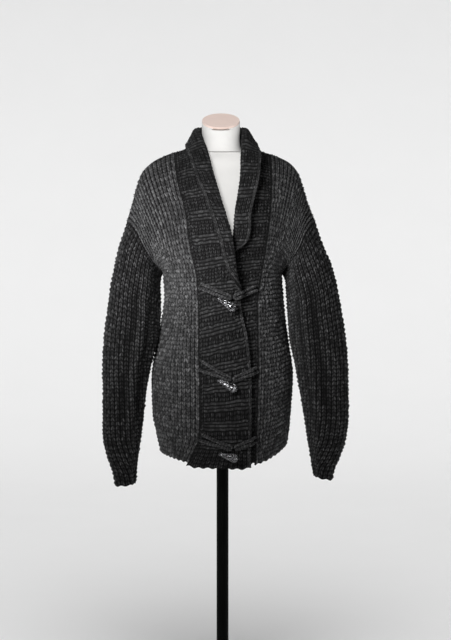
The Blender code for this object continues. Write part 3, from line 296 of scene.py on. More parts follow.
class CardiganKnitSettings(PropertyGroup):
    """Sizes of the yarn and the stitches."""

    wall: metres("Wall", "Thickness of the plain cloth", 0.0050, 0.01, 0.002)
    leg_rise: metres("Leg rise", "How far a stitch's leg stands out", 0.0042, 0.008)
    rib_rise: metres("Rib rise", "How far a wale stands out of the cloth", 0.0010, 0.004)
    welt_rise: metres(
        "Welt rise", "How far a purl welt stands out of the bands", 0.0040, 0.008)
    slant: number(
        "Slant", "How far a leg's crest moves outwards over its height, as a share of its width",
        0.24, max=0.5)
    lean: number(
        "Lean", "How far a stitch's legs spread, as a share of its height", 0.62, max=1.5)
    uneven: number(
        "Unevenness", "How much stitches differ from each other", 0.30, max=1.0,
        subtype="FACTOR")
    edge_rise: metres(
        "Edge chain", "How far the chain along a band's free edge stands out", 0.0014, 0.003)
    crease: metres(
        "Sleeve crease", "Height of the soft crease down the front of a sleeve", 0.0075, 0.008)
    seed: IntProperty(name="Seed", description="Start of the unevenness", default=SEED, min=0)


class CardiganTrimSettings(PropertyGroup):
    """Sizes of the cords and the toggles."""

    cord_radius: metres(
        "Cord radius", "Half the thickness of one cord strand", CORD_RADIUS, 0.006, 0.002)
    stone: metres("Stone", "Width of one crystal on a toggle", 0.0023, 0.005, 0.001)


class CardiganColourSettings(PropertyGroup):
    """Colours of the finishes."""

    wool_dark: tint("Wool, dark", "Darkest fibre of the yarn", (0.010, 0.010, 0.0105))
    wool_light: tint("Wool, light", "Lightest fibre of the yarn", (0.33, 0.33, 0.335))
    cover: tint("Form cover", "Cloth on the dress form", (0.86, 0.85, 0.83))
    cap: tint("Neck cap", "Cap on the form's neck", (0.95, 0.76, 0.68))
    crystal: tint("Crystal", "Stones on the toggles", (0.125, 0.125, 0.13))
    metal: tint("Stand", "Paint on the stand", (0.0015, 0.0018, 0.0015))


class CardiganStageSettings(PropertyGroup):
    """Backdrop, light and camera."""

    backdrop: tint("Backdrop", "Colour of the floor and the backdrop", (0.83, 0.83, 0.83))
    key_power: number(
        "Key light", "Power of the light at the front left", 2.2, unit="POWER")
    form_power: number(
        "Form light", "Power of the light that falls on the dress form alone", 6.0,
        unit="POWER")
    wall_strength: number(
        "Backdrop light", "Strength of the light that falls on the backdrop alone", 2.28)
    sky: number("Room light", "Strength of the light from all round", 0.20)


# --- curves and grids ----------------------------------------------------------
def hermite(t, low, up, top, over, reach=1.0):
    """Cubics from low, leaving along up, to top, arriving along over: (2t^3 - 3t^2 + 1) low
    + (t^3 - 2t^2 + t) up + (3t^2 - 2t^3) top + (t^3 - t^2) over, up and over times the reach."""
    return (
        (2 * t**3 - 3 * t**2 + 1) * low + (t**3 - 2 * t**2 + t) * reach * up
        + (3 * t**2 - 2 * t**3) * top + (t**3 - t**2) * reach * over
    )


def cubic(knots, values, at):
    """Hermite cubics through rows of values, with the slopes that their neighbours give."""
    knots, values = np.asarray(knots, float), np.asarray(values, float)
    slopes = np.gradient(values, knots, axis=0)
    at = np.clip(at, knots[0], knots[-1])
    i = np.clip(np.searchsorted(knots, at) - 1, 0, len(knots) - 2)
    h = (knots[i + 1] - knots[i])[..., None]
    t = (at - knots[i])[..., None] / h
    return hermite(t, values[i], slopes[i], values[i + 1], slopes[i + 1], h)


def steps_of(grid, axis):
    """Distances from point to point of a grid along one of its axes."""
    return np.linalg.norm(np.diff(grid, axis=axis), axis=-1)


def lengths(points):
    """Distance along a polyline at each of its points: the running sum of its steps."""
    return np.concatenate([[0.0], np.cumsum(steps_of(points, 0))])


def on_line(run, values, at):
    """Rows of values at places along a polyline, linear between its points."""
    return np.stack([np.interp(at, run, column) for column in values.T], axis=-1)


def along(points, fractions):
    """Points of a smooth curve through the given ones, at fractions of its length."""
    run = lengths(points)
    dense = cubic(run, points, np.linspace(0, run[-1], 200))
    run = lengths(dense)
    return on_line(run, dense, np.asarray(fractions) * run[-1])


def power(value, exponent):
    """A power that keeps the sign: sign(v) |v|^e."""
    return np.sign(value) * np.abs(value) ** exponent


def squarish(angle):
    """A superellipse of size 1: cos and sin of the angle, each to the power 2/p, signs kept."""
    return power(np.cos(angle), 2 / SECTION_POWER), power(np.sin(angle), 2 / SECTION_POWER)


def unit(vectors):
    """Vectors divided by their lengths."""
    return vectors / np.maximum(np.linalg.norm(vectors, axis=-1, keepdims=True), 1e-12)


def round_axis(angle, side, other):
    """Directions round an axis: cos a side + sin a other."""
    return np.cos(angle)[..., None] * side + np.sin(angle)[..., None] * other


def step(low, high, value):
    """0 below low, 1 above high, 3t^2 - 2t^3 between them."""
    t = np.clip((value - low) / (high - low), 0, 1)
    return t * t * (3 - 2 * t)


def body_point(angle, height):
    """A point of the body's section, a superellipse: angle 0 is +X, 90 degrees the front."""
    low, high, front, behind = np.moveaxis(cubic(BODY[:, 0], BODY[:, 1:], height), -1, 0)
    across, out = squarish(angle)
    x = (low + high) / 2 + (high - low) / 2 * across
    y = -np.where(out > 0, front, behind) * out
    return np.stack([x, y, height + 0 * x], axis=-1)


def front_angle(x, height):
    """The angle at which the body's front passes through x: arc cosine of the section's x."""
    low, high = np.moveaxis(cubic(BODY[:, 0], BODY[:, 1:3], height), -1, 0)
    across = np.clip((x - (low + high) / 2) / ((high - low) / 2), -1, 1)
    return np.arccos(power(across, SECTION_POWER / 2))


def normals(grid):
    """Unit normals of a grid: the step across its columns times the step along its rows."""
    return unit(np.cross(np.gradient(grid, axis=1), np.gradient(grid, axis=0)))


def sample(grid, row, column):
    """Values of a grid at fractional rows and columns: the four nearest, by nearness."""
    row = np.clip(row, 0, grid.shape[0] - 1.000001)
    column = np.clip(column, 0, grid.shape[1] - 1.000001)
    r, c = np.floor(row).astype(int), np.floor(column).astype(int)
    s, t = (row - r)[..., None], (column - c)[..., None]
    return (
        grid[r, c] * (1 - s) * (1 - t) + grid[r, c + 1] * (1 - s) * t
        + grid[r + 1, c] * s * (1 - t) + grid[r + 1, c + 1] * s * t
    )


def placed(base, out, row, column):
    """Points and unit normals of a smooth surface at fractional rows and columns."""
    return sample(base, row, column), unit(sample(out, row, column))


def square_indices(rows, columns, first=0):
    """Corner indices of a grid's squares."""
    r, c = np.arange(rows - 1)[:, None], np.arange(columns - 1)[None, :]
    at = first + r * columns + c
    return np.stack([at, at + 1, at + columns + 1, at + columns], -1).reshape(-1, 4)


def rim_triangles(outer, inner):
    """Triangles between a fine index row and a coarse one beside it, a whole number to one."""
    m = (len(outer) - 1) // (len(inner) - 1)
    e, i = np.arange(len(outer) - 1), np.arange(len(inner) - 1)
    nearest = (e + m // 2) // m
    return np.concatenate([
        np.stack([outer[e], outer[e + 1], inner[nearest]], -1),
        np.stack([outer[i * m + m // 2], inner[i + 1], inner[i]], -1),
    ])


def tube_faces(rings, sides):
    """A tube's squares, and the fans to two more points, the last, that shut its ends."""
    count, fan = rings * sides, np.arange(sides - 1)
    end = count - sides + fan
    return square_indices(rings, sides), np.concatenate([
        np.stack([np.full(sides - 1, count), fan + 1, fan], -1),
        np.stack([np.full(sides - 1, count + 1), end, end + 1], -1),
    ])


def make_mesh(name, points, squares, triangles, slot, material, uv=None, relief=None, cut=False):
    """A mesh object from arrays: points, four-cornered and three-cornered faces, and to each point
    a place on the yarn and its relief, from 0 in a gap between stitches to 1 on their crests.

    A cut piece has flat faces and many closed parts, each turned outwards on its own.
    """
    mesh = bpy.data.meshes.new(name)
    corners = np.concatenate([squares.reshape(-1), triangles.reshape(-1)]).astype(np.int32)
    sizes = np.repeat([4, 3], [len(squares), len(triangles)]).astype(np.int32)
    starts = np.concatenate([[0], np.cumsum(sizes)[:-1]]).astype(np.int32)
    mesh.vertices.add(len(points))
    mesh.vertices.foreach_set("co", np.asarray(points, np.float32).reshape(-1))
    mesh.loops.add(len(corners))
    mesh.loops.foreach_set("vertex_index", corners)
    mesh.polygons.add(len(sizes))
    mesh.polygons.foreach_set("loop_start", starts)
    mesh.polygons.foreach_set("loop_total", sizes)
    if uv is not None:
        layer = mesh.uv_layers.new(name="yarn")
        layer.data.foreach_set("uv", np.asarray(uv, np.float32)[corners].reshape(-1))
    # the relief attribute drives the wool's painted shade
    if relief is not None:
        attribute = mesh.attributes.new("relief", "FLOAT", "POINT")
        attribute.data.foreach_set("value", np.asarray(relief, np.float32).reshape(-1))
    mesh.update(calc_edges=True)
    mesh.validate()
    edit = bmesh.new()
    edit.from_mesh(mesh)
    bmesh.ops.remove_doubles(edit, verts=edit.verts, dist=2e-6)
    if cut:
        bmesh.ops.recalc_face_normals(edit, faces=edit.faces)
    else:
        bmesh.ops.dissolve_degenerate(edit, dist=1e-7, edges=edit.edges)
        if edit.calc_volume(signed=True) < 0:
            bmesh.ops.reverse_faces(edit, faces=edit.faces)
    edit.to_mesh(mesh)
    edit.free()
    if cut:
        mesh.shade_flat()
    else:
        mesh.shade_smooth()
    mesh.materials.append(material)
    piece = bpy.data.objects.new(name, mesh)
    bpy.context.scene.collection.objects.link(piece)
    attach(piece, "root")
    return piece


def shell(name, outer, inner, uv, relief, material, closed=False, inner_relief=None):
    """A closed wall between an outer grid and an equal or coarser inner one, joined at its edges.

    A closed grid has its first and last columns in one place, and they are welded.
    """
    rows, columns = outer.shape[:2]
    inner_rows, inner_columns = inner.shape[:2]
    count = rows * columns
    top = np.arange(count).reshape(rows, columns)
    bottom = count + np.arange(inner_rows * inner_columns).reshape(inner_rows, inner_columns)
    inside = square_indices(inner_rows, inner_columns, count)[:, ::-1]
    rims = [rim_triangles(top[0], bottom[0])[:, ::-1], rim_triangles(top[-1], bottom[-1])]
    if not closed:
        rims += [rim_triangles(top[:, 0], bottom[:, 0]),
                 rim_triangles(top[:, -1], bottom[:, -1])[:, ::-1]]
    if inner_relief is None:
        inner_relief = np.full((inner_rows, inner_columns), INNER_RELIEF)
    inner_uv = uv[::(rows - 1) // (inner_rows - 1), ::(columns - 1) // (inner_columns - 1)]
    return make_mesh(
        name, np.concatenate([outer.reshape(-1, 3), inner.reshape(-1, 3)]),
        np.concatenate([square_indices(rows, columns), inside]), np.concatenate(rims),
        "charcoal_wool", material, np.concatenate([uv.reshape(-1, 2), inner_uv.reshape(-1, 2)]),
        np.concatenate([relief.reshape(-1), inner_relief.reshape(-1)]))


# --- stitches ------------------------------------------------------------------
def noise(rows, columns, row_scale, column_scale, seed):
    """Smooth unevenness: random numbers on a coarse grid, drawn between by cubic steps, -1 to 1."""
    dice = np.random.default_rng(seed)
    size = int(rows[-1] / row_scale) + 3, int(columns[-1] / column_scale) + 3, 1
    r, c = rows / row_scale, columns / column_scale
    fine_r = np.floor(r) + step(0, 1, r - np.floor(r))
    fine_c = np.floor(c) + step(0, 1, c - np.floor(c))
    return sample(dice.uniform(-1, 1, size), fine_r[:, None], fine_c[None, :])[..., 0]


def stitch_lines(count, fine):
    """Places of grid lines over a count of stitches, in stitches."""
    return np.arange(count * fine + 1) / fine


def yarn_map(k, w):
    """The yarn's map: its legs across, two to a wale, and its rows along."""
    return np.stack(np.broadcast_arrays(2 * w[None, :], k[:, None]), axis=-1)


def vee(w):
    """The V of a stitch: 1/2 at a wale's sides and -1/2 at its middle, straight between."""
    return (np.abs(2 * (w - np.floor(w)) - 1) - 0.5)[None, :]


def stitches(settings, k, w, seed, purl=None, ribbing=1.0):
    """Heights of the cloth and how far its lines zigzag, on a grid of rows k and wales w, both in
    stitches.

    A wale is two legs side by side that spread upwards. Across a leg its height is the curve
    (1 - ((u - c) / 0.62)^2)^0.75, whose crest c moves from the wale's middle outwards as the leg
    rises; along it, from stitch to stitch, it is 0.1 + 0.9 sin(pi f). Lines drop at the wale's
    middle by the lean. Wales stand out of the cloth by a cosine, as far as the ribbing says. A purl
    row is a ridge 1 - (2f - 1)^2 across all wales but the first and last, which are knitted on as
    chains, with a shallow bump to each leg. Smooth noise shifts the lines here and there.
    """
    half, along_leg = 2 * w, k - np.floor(k)
    across = half - np.floor(half)
    inwards = np.where(np.floor(half) % 2 == 0, 1 - across, across)[None, :]
    crest = 0.5 + settings.slant * (1 - 2 * along_leg[:, None])
    leg = np.clip(1 - ((1 - inwards - crest) / LEG_REACH) ** 2, 0, 1) ** 0.75
    leg = leg * (np.minimum(across, 1 - across) > 0)[None, :]
    swell = (0.1 + 0.9 * np.sin(math.pi * along_leg))[:, None]
    wale = np.cos(2 * math.pi * (w - 0.5))[None, :]
    dice = np.random.default_rng(settings.seed + seed)
    loose = settings.uneven * 0.9 * noise(k, w, 1.3, 1.1, settings.seed + seed + DRAWS["noise"])
    row_of = np.minimum(np.floor(k).astype(int), int(k[-1]) - 1)
    leg_of = np.minimum(np.floor(half).astype(int), int(half[-1]) - 1)
    odd = dice.uniform(-1, 1, (row_of[-1] + 1, leg_of[-1] + 1))[row_of][:, leg_of]
    knit = settings.leg_rise * (
        leg * swell * (1 + settings.uneven * odd + 0.6 * loose) - LEG_REACH)
    knit = knit + settings.rib_rise * ribbing * wale
    zigzag = settings.lean * vee(w) + loose
    if purl is None:
        return knit, zigzag
    inside = (step(0.95, 1.05, w) * step(0.95, 1.05, w[-1] - w))[None, :]
    share = purl[row_of][:, None] * inside
    ridge = (1 - (2 * along_leg - 1) ** 2)[:, None]
    bump = 0.82 + 0.18 * np.abs(np.sin(2 * math.pi * w))[None, :]
    welt = settings.welt_rise * (ridge * bump * (1 + 0.5 * settings.uneven * odd) - LEG_REACH)
    border = np.maximum(np.append(purl[0], purl), np.append(purl, purl[-1]))
    border = border[row_of] + (border[row_of + 1] - border[row_of]) * (k - row_of)
    line_share = border[:, None] * inside
    zigzag = zigzag * (1 - line_share) + 0.7 * loose * line_share
    return knit * (1 - share) + welt * share, zigzag


def wavy(point, k, w, depth=0.0016, reach=2.5):
    """Lower edges hang in small waves, two wales long: depth (1 + cos(pi w)) at the last rows."""
    point = point.copy()
    point[..., 2] -= depth * (1 + np.cos(math.pi * w))[None, :] * (1 - step(0, reach, k))[:, None]
    return point


def relief_of(height, soft=1.0):
    """Heights as shares of the way from the deepest gap to the highest crest, low at sewn edges."""
    low, high = np.percentile(height, 1), np.percentile(height, 99)
    # low relief is painted shade in the wool: sewn edges keep only a quarter of it, so they come
    # out darker
    return np.clip((height - low) / (high - low), 0, 1) * (0.25 + 0.75 * soft)


def edge_fade(k, w, bottom=0.0, top=0.0, first=0.0, last=0.0):
    """0 at the named edges of a grid and 1 from so many stitches inside them."""
    fade = np.ones((len(k), len(w)))
    k, w = k[:, None], w[None, :]
    for reach, distance in ((bottom, k), (top, k[-1] - k), (first, w), (last, w[0, -1] - w)):
        if reach:
            fade = fade * step(0, reach, distance)
    return fade


def knitted(name, settings, base, out, wales, fine, material, ribbing):
    """A front or the back: each point moves along the normal by its stitch's height."""
    rows = SKIRT_ROWS + YOKE_ROWS
    k, w = stitch_lines(rows, fine[1]), stitch_lines(wales, fine[0])
    ribs = ribbing(k[:, None], w[None, :])
    height, zigzag = stitches(settings, k, w, DRAWS[name], ribbing=ribs)
    soft = edge_fade(k, w, **BODY_FADE)
    row = (k[:, None] + zigzag * soft) / rows * (base.shape[0] - 1)
    point, facing = placed(base, out, row, w[None, :] / wales * (base.shape[1] - 1))
    point = wavy(point, k, w)
    outer = point + facing * (height * soft)[..., None]
    inner = (point - facing * settings.wall)[::fine[1], ::fine[0]]
    return shell(name + "_knit", outer, inner, yarn_map(k, w), relief_of(height, soft), material)


def yoke_share(k):
    """0 below the underarm and 1 above it."""
    return step(SKIRT_ROWS - 6, SKIRT_ROWS + 8, k)


def front_ribbing(k, w):
    """Ribs stand out over the shoulder, more so away from the band, and in the wale beside it."""
    yoke = yoke_share(k) * step(0.10, 0.55, w / FRONT_WALES)
    return 1 + 2.4 * yoke + 0.5 * step(1.2, 0.8, w)


def back_ribbing(k, w):
    """Ribs stand out over the shoulder blades towards both armholes."""
    return 1 + 2.4 * yoke_share(k) * step(0.35, 0.75, np.abs(2 * w / BACK_WALES - 1))


# --- body ----------------------------------------------------------------------
def hem_height(angle):
    """The hem rises from the front and the back to each side seam with a power of |cos a|."""
    right, left = (rise * np.abs(np.cos(angle)) ** exponent for rise, exponent in HEM_RISES)
    return HEM_LOW + np.where(np.cos(angle) < 0, right, left)


def left_armhole():
    """The right armhole turned over and fitted between the left underarm and shoulder point."""
    turned = RIGHT_ARMHOLE.copy()
    ends = (LEFT_SHOULDER[-1, 0], BODY[-1, 2])
    turned[:, 0] = np.interp(turned[:, 0], (RIGHT_SHOULDER[-1, 0], BODY[-1, 1]), ends)
    return turned


def body_columns(angle):
    """Straight columns of the body's section at these angles, from the hem to the underarm."""
    hem = hem_height(angle)[None, :]
    return hem + np.linspace(0, 1, SKIRT_STEPS)[:, None] * (UNDERARM - hem)


def front_grid(side):
    """A front: straight columns from the hem to the underarm, then fanned out to the shoulder seam.

    Below the underarm a point is the body's section at an angle between the band's and the side's.
    Above it, Hermite cubics rise to the shoulder seam, and the two outer columns are drawn on to
    the band's seam and the armhole with weights (1-s)^2 and s^3.
    """
    if side == "right":
        band, roll, shoulder, armhole = RIGHT_BAND, RIGHT_ROLL, RIGHT_SHOULDER, RIGHT_ARMHOLE
        side_angle, sign = math.pi, -1
    else:
        band, roll, shoulder, armhole = LEFT_BAND, LEFT_ROLL, LEFT_SHOULDER, left_armhole()
        side_angle, sign = 0.0, 1
    s = np.linspace(0, 1, FRONT_COLUMNS + 1)
    seam_z = np.concatenate([band[:, 0], roll[:3, 2]])
    seam_x = np.concatenate([band[:, 1], roll[:3, 0]])
    base = front_angle(band[:1, 1], band[:1, 0])[0]
    height = body_columns(base + (side_angle - base) * s)
    start = front_angle(np.interp(height, seam_z, seam_x), height)
    lower = body_point(start + (side_angle - start) * s[None, :], height)
    t = np.linspace(0, 1, YOKE_STEPS + 1)[:, None, None]
    low, top, s = lower[-1][None], along(shoulder, s)[None], s[None, :, None]
    rise = top[..., 2:] - low[..., 2:]
    up = np.concatenate([0.5 * sign * s**2 * rise, -0.55 * s**2 * rise, 1.15 * rise], -1)
    over = np.concatenate([0 * rise, 0.20 + 0 * rise, 0.10 * rise], -1)
    yoke = hermite(t, low, up, top, over)
    to_shoulder = roll[:1 + np.argmax(roll[:, 1] >= 0)]
    above = to_shoulder[:, 2] > UNDERARM + YOKE_CLEAR
    seam = np.concatenate([lower[-1, :1], to_shoulder[above, :3]])
    fraction = t[:, 0, 0]
    yoke = yoke + (1 - s) ** 2 * (along(seam, fraction) - yoke[:, 0])[:, None]
    yoke = yoke + s**3 * (along(armhole, fraction) - yoke[:, -1])[:, None]
    return np.concatenate([lower, yoke[1:]])


def smoothed(path):
    """Rows of values as means over 13 neighbours, the ends repeated."""
    padded = np.pad(path, ((6, 6), (0, 0)), mode="edge")
    mean = np.full(13, 1 / 13)
    return np.stack([np.convolve(column, mean, "valid") for column in padded.T], -1)


def back_grid(right_front, left_front):
    """The back: from side seam to side seam round behind, up to both shoulders and the neck.

    It rises as the fronts do, and is drawn on to both armholes with the weight s^8.
    """
    s = np.linspace(0, 1, BACK_COLUMNS + 1)
    third = np.linspace(0, 1, BACK_COLUMNS // 3 + 1)
    angle = math.pi + math.pi * s
    lower = body_point(angle[None, :], body_columns(angle))
    t = np.linspace(0, 1, YOKE_STEPS + 1)[:, None, None]
    top = np.concatenate([
        along(RIGHT_SHOULDER[::-1], third), along(BACK_NECK, third)[1:],
        along(LEFT_SHOULDER, third)[1:],
    ])[None]
    low, sideways = lower[-1][None], 2 * s - 1
    rise = top[..., 2:] - low[..., 2:]
    edge = (np.abs(sideways) ** 3)[None, :, None]
    lean = np.sign(sideways)[None, :, None] * edge
    up = np.concatenate([0.5 * lean * rise, 0.5 * edge * rise, 1.10 * rise], -1)
    heading = unit(smoothed(np.gradient(top[0, :, :2], axis=0)))
    reach = 0.24 * (0.45 + 0.55 * np.abs(sideways))
    over = [heading[:, 1] * reach, -heading[:, 0] * reach, 0.10 * rise[0, :, 0]]
    yoke = hermite(t, low, up, top, np.stack(over, axis=-1)[None])
    fraction = t[:, 0, 0]
    for column, front in ((0, right_front), (-1, left_front)):
        armhole = front[-len(fraction):, -1] * (1, -1, 1)
        fade = (s if column else 1 - s)[None, :, None] ** 8
        yoke = yoke + fade * (along(armhole, fraction) - yoke[:, column])[:, None]
    back = np.concatenate([lower, yoke[1:]])
    back[:, 0] = right_front[:, -1] * (1, -1, 1)
    back[:, -1] = left_front[:, -1] * (1, -1, 1)
    return back


def level_seams(grid, out):
    """Side and shoulder seams lie in the plane y = 0, so their normals are turned into it."""
    out = out.copy()
    out[..., 1] = np.where(np.abs(grid[..., 1]) < 1e-6, 0.0, out[..., 1])
    return unit(out)


def body_surfaces():
    """The smooth fronts and back, and their normals."""
    right, left = front_grid("right"), front_grid("left")
    grids = {"right": right, "left": left, "back": back_grid(right, left)}
    outs = {
        name: level_seams(grid, normals(grid) * (1 if name == "left" else -1))
        for name, grid in grids.items()
    }
    third, turn = BACK_COLUMNS // 3, int(NECK_TURN * BACK_COLUMNS)
    back = outs["back"]
    for corner, way, front in ((third, 1, outs["right"]), (2 * third, -1, outs["left"])):
        turned = corner + way * np.arange(turn + 1)
        share = np.linspace(0, 1, turn + 1)[:, None]
        back[-1, turned] = unit((1 - share) * front[-1, 0] + share * back[-1, turned[-1]])
    return grids, outs


def band_edges(surfaces):
    """The edges that the bands follow, to the middle of the back's neck, and their normals."""
    third, middle = BACK_COLUMNS // 3, BACK_COLUMNS // 2
    right, left = slice(third + 1, middle + 1), slice(2 * third - 1, middle - 1, -1)
    return {
        side: [np.concatenate([a[side][:, 0], a["back"][-1, columns]]) for a in surfaces]
        for side, columns in (("right", right), ("left", left))
    }


def armhole_lines(surfaces):
    """Lines round the armholes, down the front and up the back, and their normals."""
    yoke = slice(-YOKE_STEPS - 1, None)
    return {
        side: [np.concatenate([a[side][yoke, -1][::-1], a["back"][yoke, column][1:]])
               for a in surfaces]
        for side, column in (("right", 0), ("left", -1))
    }


def respaced(grid):
    """A body grid with its rows shared out between the skirt's stitches and the yoke's."""
    last = SKIRT_STEPS - 1
    at = np.concatenate([
        np.linspace(0, last, SKIRT_ROWS * FINE[1], endpoint=False),
        np.linspace(last, last + YOKE_STEPS, YOKE_ROWS * FINE[1] + 1),
    ])
    return sample(grid, at[:, None], np.arange(grid.shape[1])[None, :])


# --- bands and shawl collar ----------------------------------------------------
def band_stations(side):
    """Rows of the band from the hem to centre back: its seam, middle control and edge points, and
    how it rolls. The control puts the bow's middle on its own point: 2 m - (a + c) / 2."""
    lower, roll = (RIGHT_BAND, RIGHT_ROLL) if side == "right" else (LEFT_BAND, LEFT_ROLL)
    seam_z, seam_x, edge_z, edge_x, lift = lower.T
    forward = np.outer(lift, (0, 1, 0))

    def on_body(x, z):
        return body_point(front_angle(x, z), z)

    seam, edge = on_body(seam_x, seam_z), on_body(edge_x, edge_z) - forward
    middle = on_body((seam_x + edge_x) / 2, (seam_z + edge_z) / 2) - MIDDLE_LIFT * forward
    control = 2 * middle - (seam + edge) / 2
    roll_seam, roll_edge = roll[:, 0:3], roll[:, 3:6]
    between = (roll_seam + roll_edge) / 2
    out = unit(np.cross(roll_edge - roll_seam, np.gradient(between, axis=0)))
    roll_control = between + 2 * roll[:, 6:7] * (out if side == "right" else -out)
    flat = np.tile([[FLAT_FALL, FLAT_ROLL, 0.0]], (len(lower), 1))
    rolled = np.stack([roll[:, 7], math.pi * roll[:, 8], np.radians(roll[:, 9])], axis=1)
    return np.block([[seam, control, edge, flat], [roll_seam, roll_control, roll_edge, rolled]])


def band_path(side):
    """The stations and the distance along the band at each."""
    stations = band_stations(side)
    line = stations[:, 0:3] * (1 - EDGE_SHARE) + stations[:, 6:9] * EDGE_SHARE
    return stations, lengths(line)


def hem_drop(run, seam):
    """How far the band's seam edge is carried on below the body's own, straight on along it."""
    away = seam[0] - seam[np.searchsorted(lengths(seam), DROP_REACH / 2)]
    return BAND_DROP * np.clip(1 - run / DROP_REACH, 0, 1)[:, None] * unit(away)


def band_surface(side, run, share, body_edge, wall):
    """Points and outward normals of the band's face at distances along it and shares across it.

    Across: 0 to 1 is the bow from the seam, the quadratic (1-q)^2 a + 2q(1-q) b + q^2 c; 1 to 2
    the roll, a circle's arc of the given angle; 2 to 3 the fall, straight on from there.
    """
    stations, knots = band_path(side)
    rows = cubic(knots, stations, run)[:, None, :]
    seam_run = lengths(stations[:, 0:3])
    fraction = cubic(knots, seam_run[:, None] / seam_run[-1], run)[:, 0]
    edge_run = lengths(body_edge[0])
    on_edge = on_line(edge_run, np.concatenate(body_edge, axis=1), fraction * edge_run[-1])
    if side == "right":
        on_edge[:, 0:3] += hem_drop(run, body_edge[0])
    seam, control, edge = on_edge[:, None, 0:3], rows[..., 3:6], rows[..., 6:9]
    fall, bend = np.maximum(rows[..., 9:10], 0.004), rows[..., 10:11]
    turn = np.clip(rows[..., 11:12], 0.0, math.pi)
    span = sum(np.linalg.norm(line, axis=-1, keepdims=True)
               for line in (edge - seam, control - seam, edge - control)) / 2
    rolled = np.sin(np.minimum(turn, math.pi / 2))
    inset = (fall + bend) * (1 - rolled) + (bend / math.pi + wall) * rolled
    share = share[None, :, None]
    q = np.clip(share, 0, 1) * (1 - inset / span)
    flat = (1 - q) ** 2 * seam + 2 * q * (1 - q) * control + q**2 * edge
    heading = unit(2 * (1 - q) * (control - seam) + 2 * q * (edge - control))
    out = unit(np.cross(heading, np.gradient(flat, axis=0))) * (1 if side == "right" else -1)
    rolling, falling = np.clip(share - 1, 0, 1), np.clip(share - 2, 0, 1)
    curve = np.maximum(turn / bend, 1e-3)
    arc = curve * (rolling * bend)
    point = flat + heading * np.sin(arc) / curve + out * (1 - np.cos(arc)) / curve
    point = point + (heading * np.cos(turn) + out * np.sin(turn)) * (falling * fall)
    facing = out * np.cos(rolling * turn) - heading * np.sin(rolling * turn)
    facing[:, 0] = unit(on_edge[:, 3:6])
    facing[-1, :, 0] = 0.0
    facing[-1] = unit(facing[-1])
    point[-1, :, 0] = 0.0
    return point, facing


def band_rows(side):
    """Edges of the band's rows along it, and which are purl: three welts, then plain rows."""
    stations, knots = band_path(side)
    break_at = np.interp(UNDERARM, stations[:BELOW_SHOULDER, 2], knots[:BELOW_SHOULDER])
    below = np.arange(break_at - LAST_BELOW, 0.03, -LOWER_PITCH)
    above = np.arange(break_at + FIRST_ABOVE, knots[-1] - 0.02, UPPER_PITCH)
    middles = np.sort(np.concatenate([below, above]))
    edges, purl = [0.0], []
    for middle in np.append(middles, knots[-1] + 1.5 * WELT):
        at, low = edges[-1], middle - 1.5 * WELT
        plain = max(1, int(round((low - at) / PLAIN_ROW)))
        edges += list(np.linspace(at, low, plain + 1)[1:])
        purl += [0] * plain
        if middle < knots[-1]:
            edges += [low + WELT, low + 2 * WELT, low + 3 * WELT]
            purl += [1, 1, 1]
    return np.array(edges), np.array(purl)


def band_grid(side, body_edge, wall):
    """The band's face, spread evenly from its seam to its free edge, row by row."""
    run = np.linspace(0, band_path(side)[1][-1], 420)
    part = np.linspace(0, 1, 13)[1:]
    share = np.concatenate([np.linspace(0, 1, 25), 1 + part, 2 + part])
    point, out = band_surface(side, run, share, body_edge, wall)
    width = np.pad(np.cumsum(steps_of(point, 1), axis=1), ((0, 0), (1, 0)))
    even = np.linspace(0, 1, BAND_WALES * 8 + 1)
    place = [np.interp(even * line[-1], line, np.arange(len(share))) for line in width]
    return run, *placed(point, out, np.arange(len(run))[:, None], np.stack(place))


def make_band(settings, side, body_edge, material):
    """A band: stitches on its face, and on its back where that is turned outwards by the roll.

    Its lower corners are lifted by exp(-(distance / about one wale)^2) times the lift, to round
    them.
    """
    run, point, out = band_grid(side, body_edge, settings.wall)
    edges, purl = band_rows(side)
    k, w = stitch_lines(len(purl), FINE[1]), stitch_lines(BAND_WALES, FINE[0])
    at_run = np.interp(k, np.arange(len(edges)), edges) / run[-1] * (len(run) - 1)
    height, zigzag = stitches(settings, k, w, DRAWS["band_" + side], purl)
    height = height + settings.edge_rise * step(w[-1] - 1.2, w[-1] - 0.8, w)[None, :]
    soft = edge_fade(k, w, **BAND_FADE)
    slide = zigzag * edge_fade(k, w, bottom=1, top=1) * (np.gradient(at_run)[:, None] * FINE[1])
    row = np.clip(at_run[:, None] + slide, 0, len(run) - 1)
    face, facing = placed(point, out, row, w[None, :] / BAND_WALES * (point.shape[1] - 1))
    face = wavy(face, k, w)
    corners = sum(np.exp(-(away / reach) ** 2) for away, reach in zip((w, w[-1] - w), CORNERS))
    face[..., 2] += CORNER_LIFT * corners[None, :] * (1 - step(0, 2, k))[:, None]
    outer = face + facing * (height * soft)[..., None]
    behind = settings.wall + BACK_RELIEF * (height - height.min()) * soft
    # painted shade for the band, on its face and on its back alike
    shade = relief_of(height, soft)
    piece = shell("band_" + side + "_knit", outer, face - facing * behind[..., None],
                  yarn_map(k, w), shade, material, inner_relief=shade)
    return piece, outer


# --- sleeves -------------------------------------------------------------------
def bell(distance, width):
    """A bell curve: exp(-(d / width)^2)."""
    return np.exp(-((distance / width) ** 2))


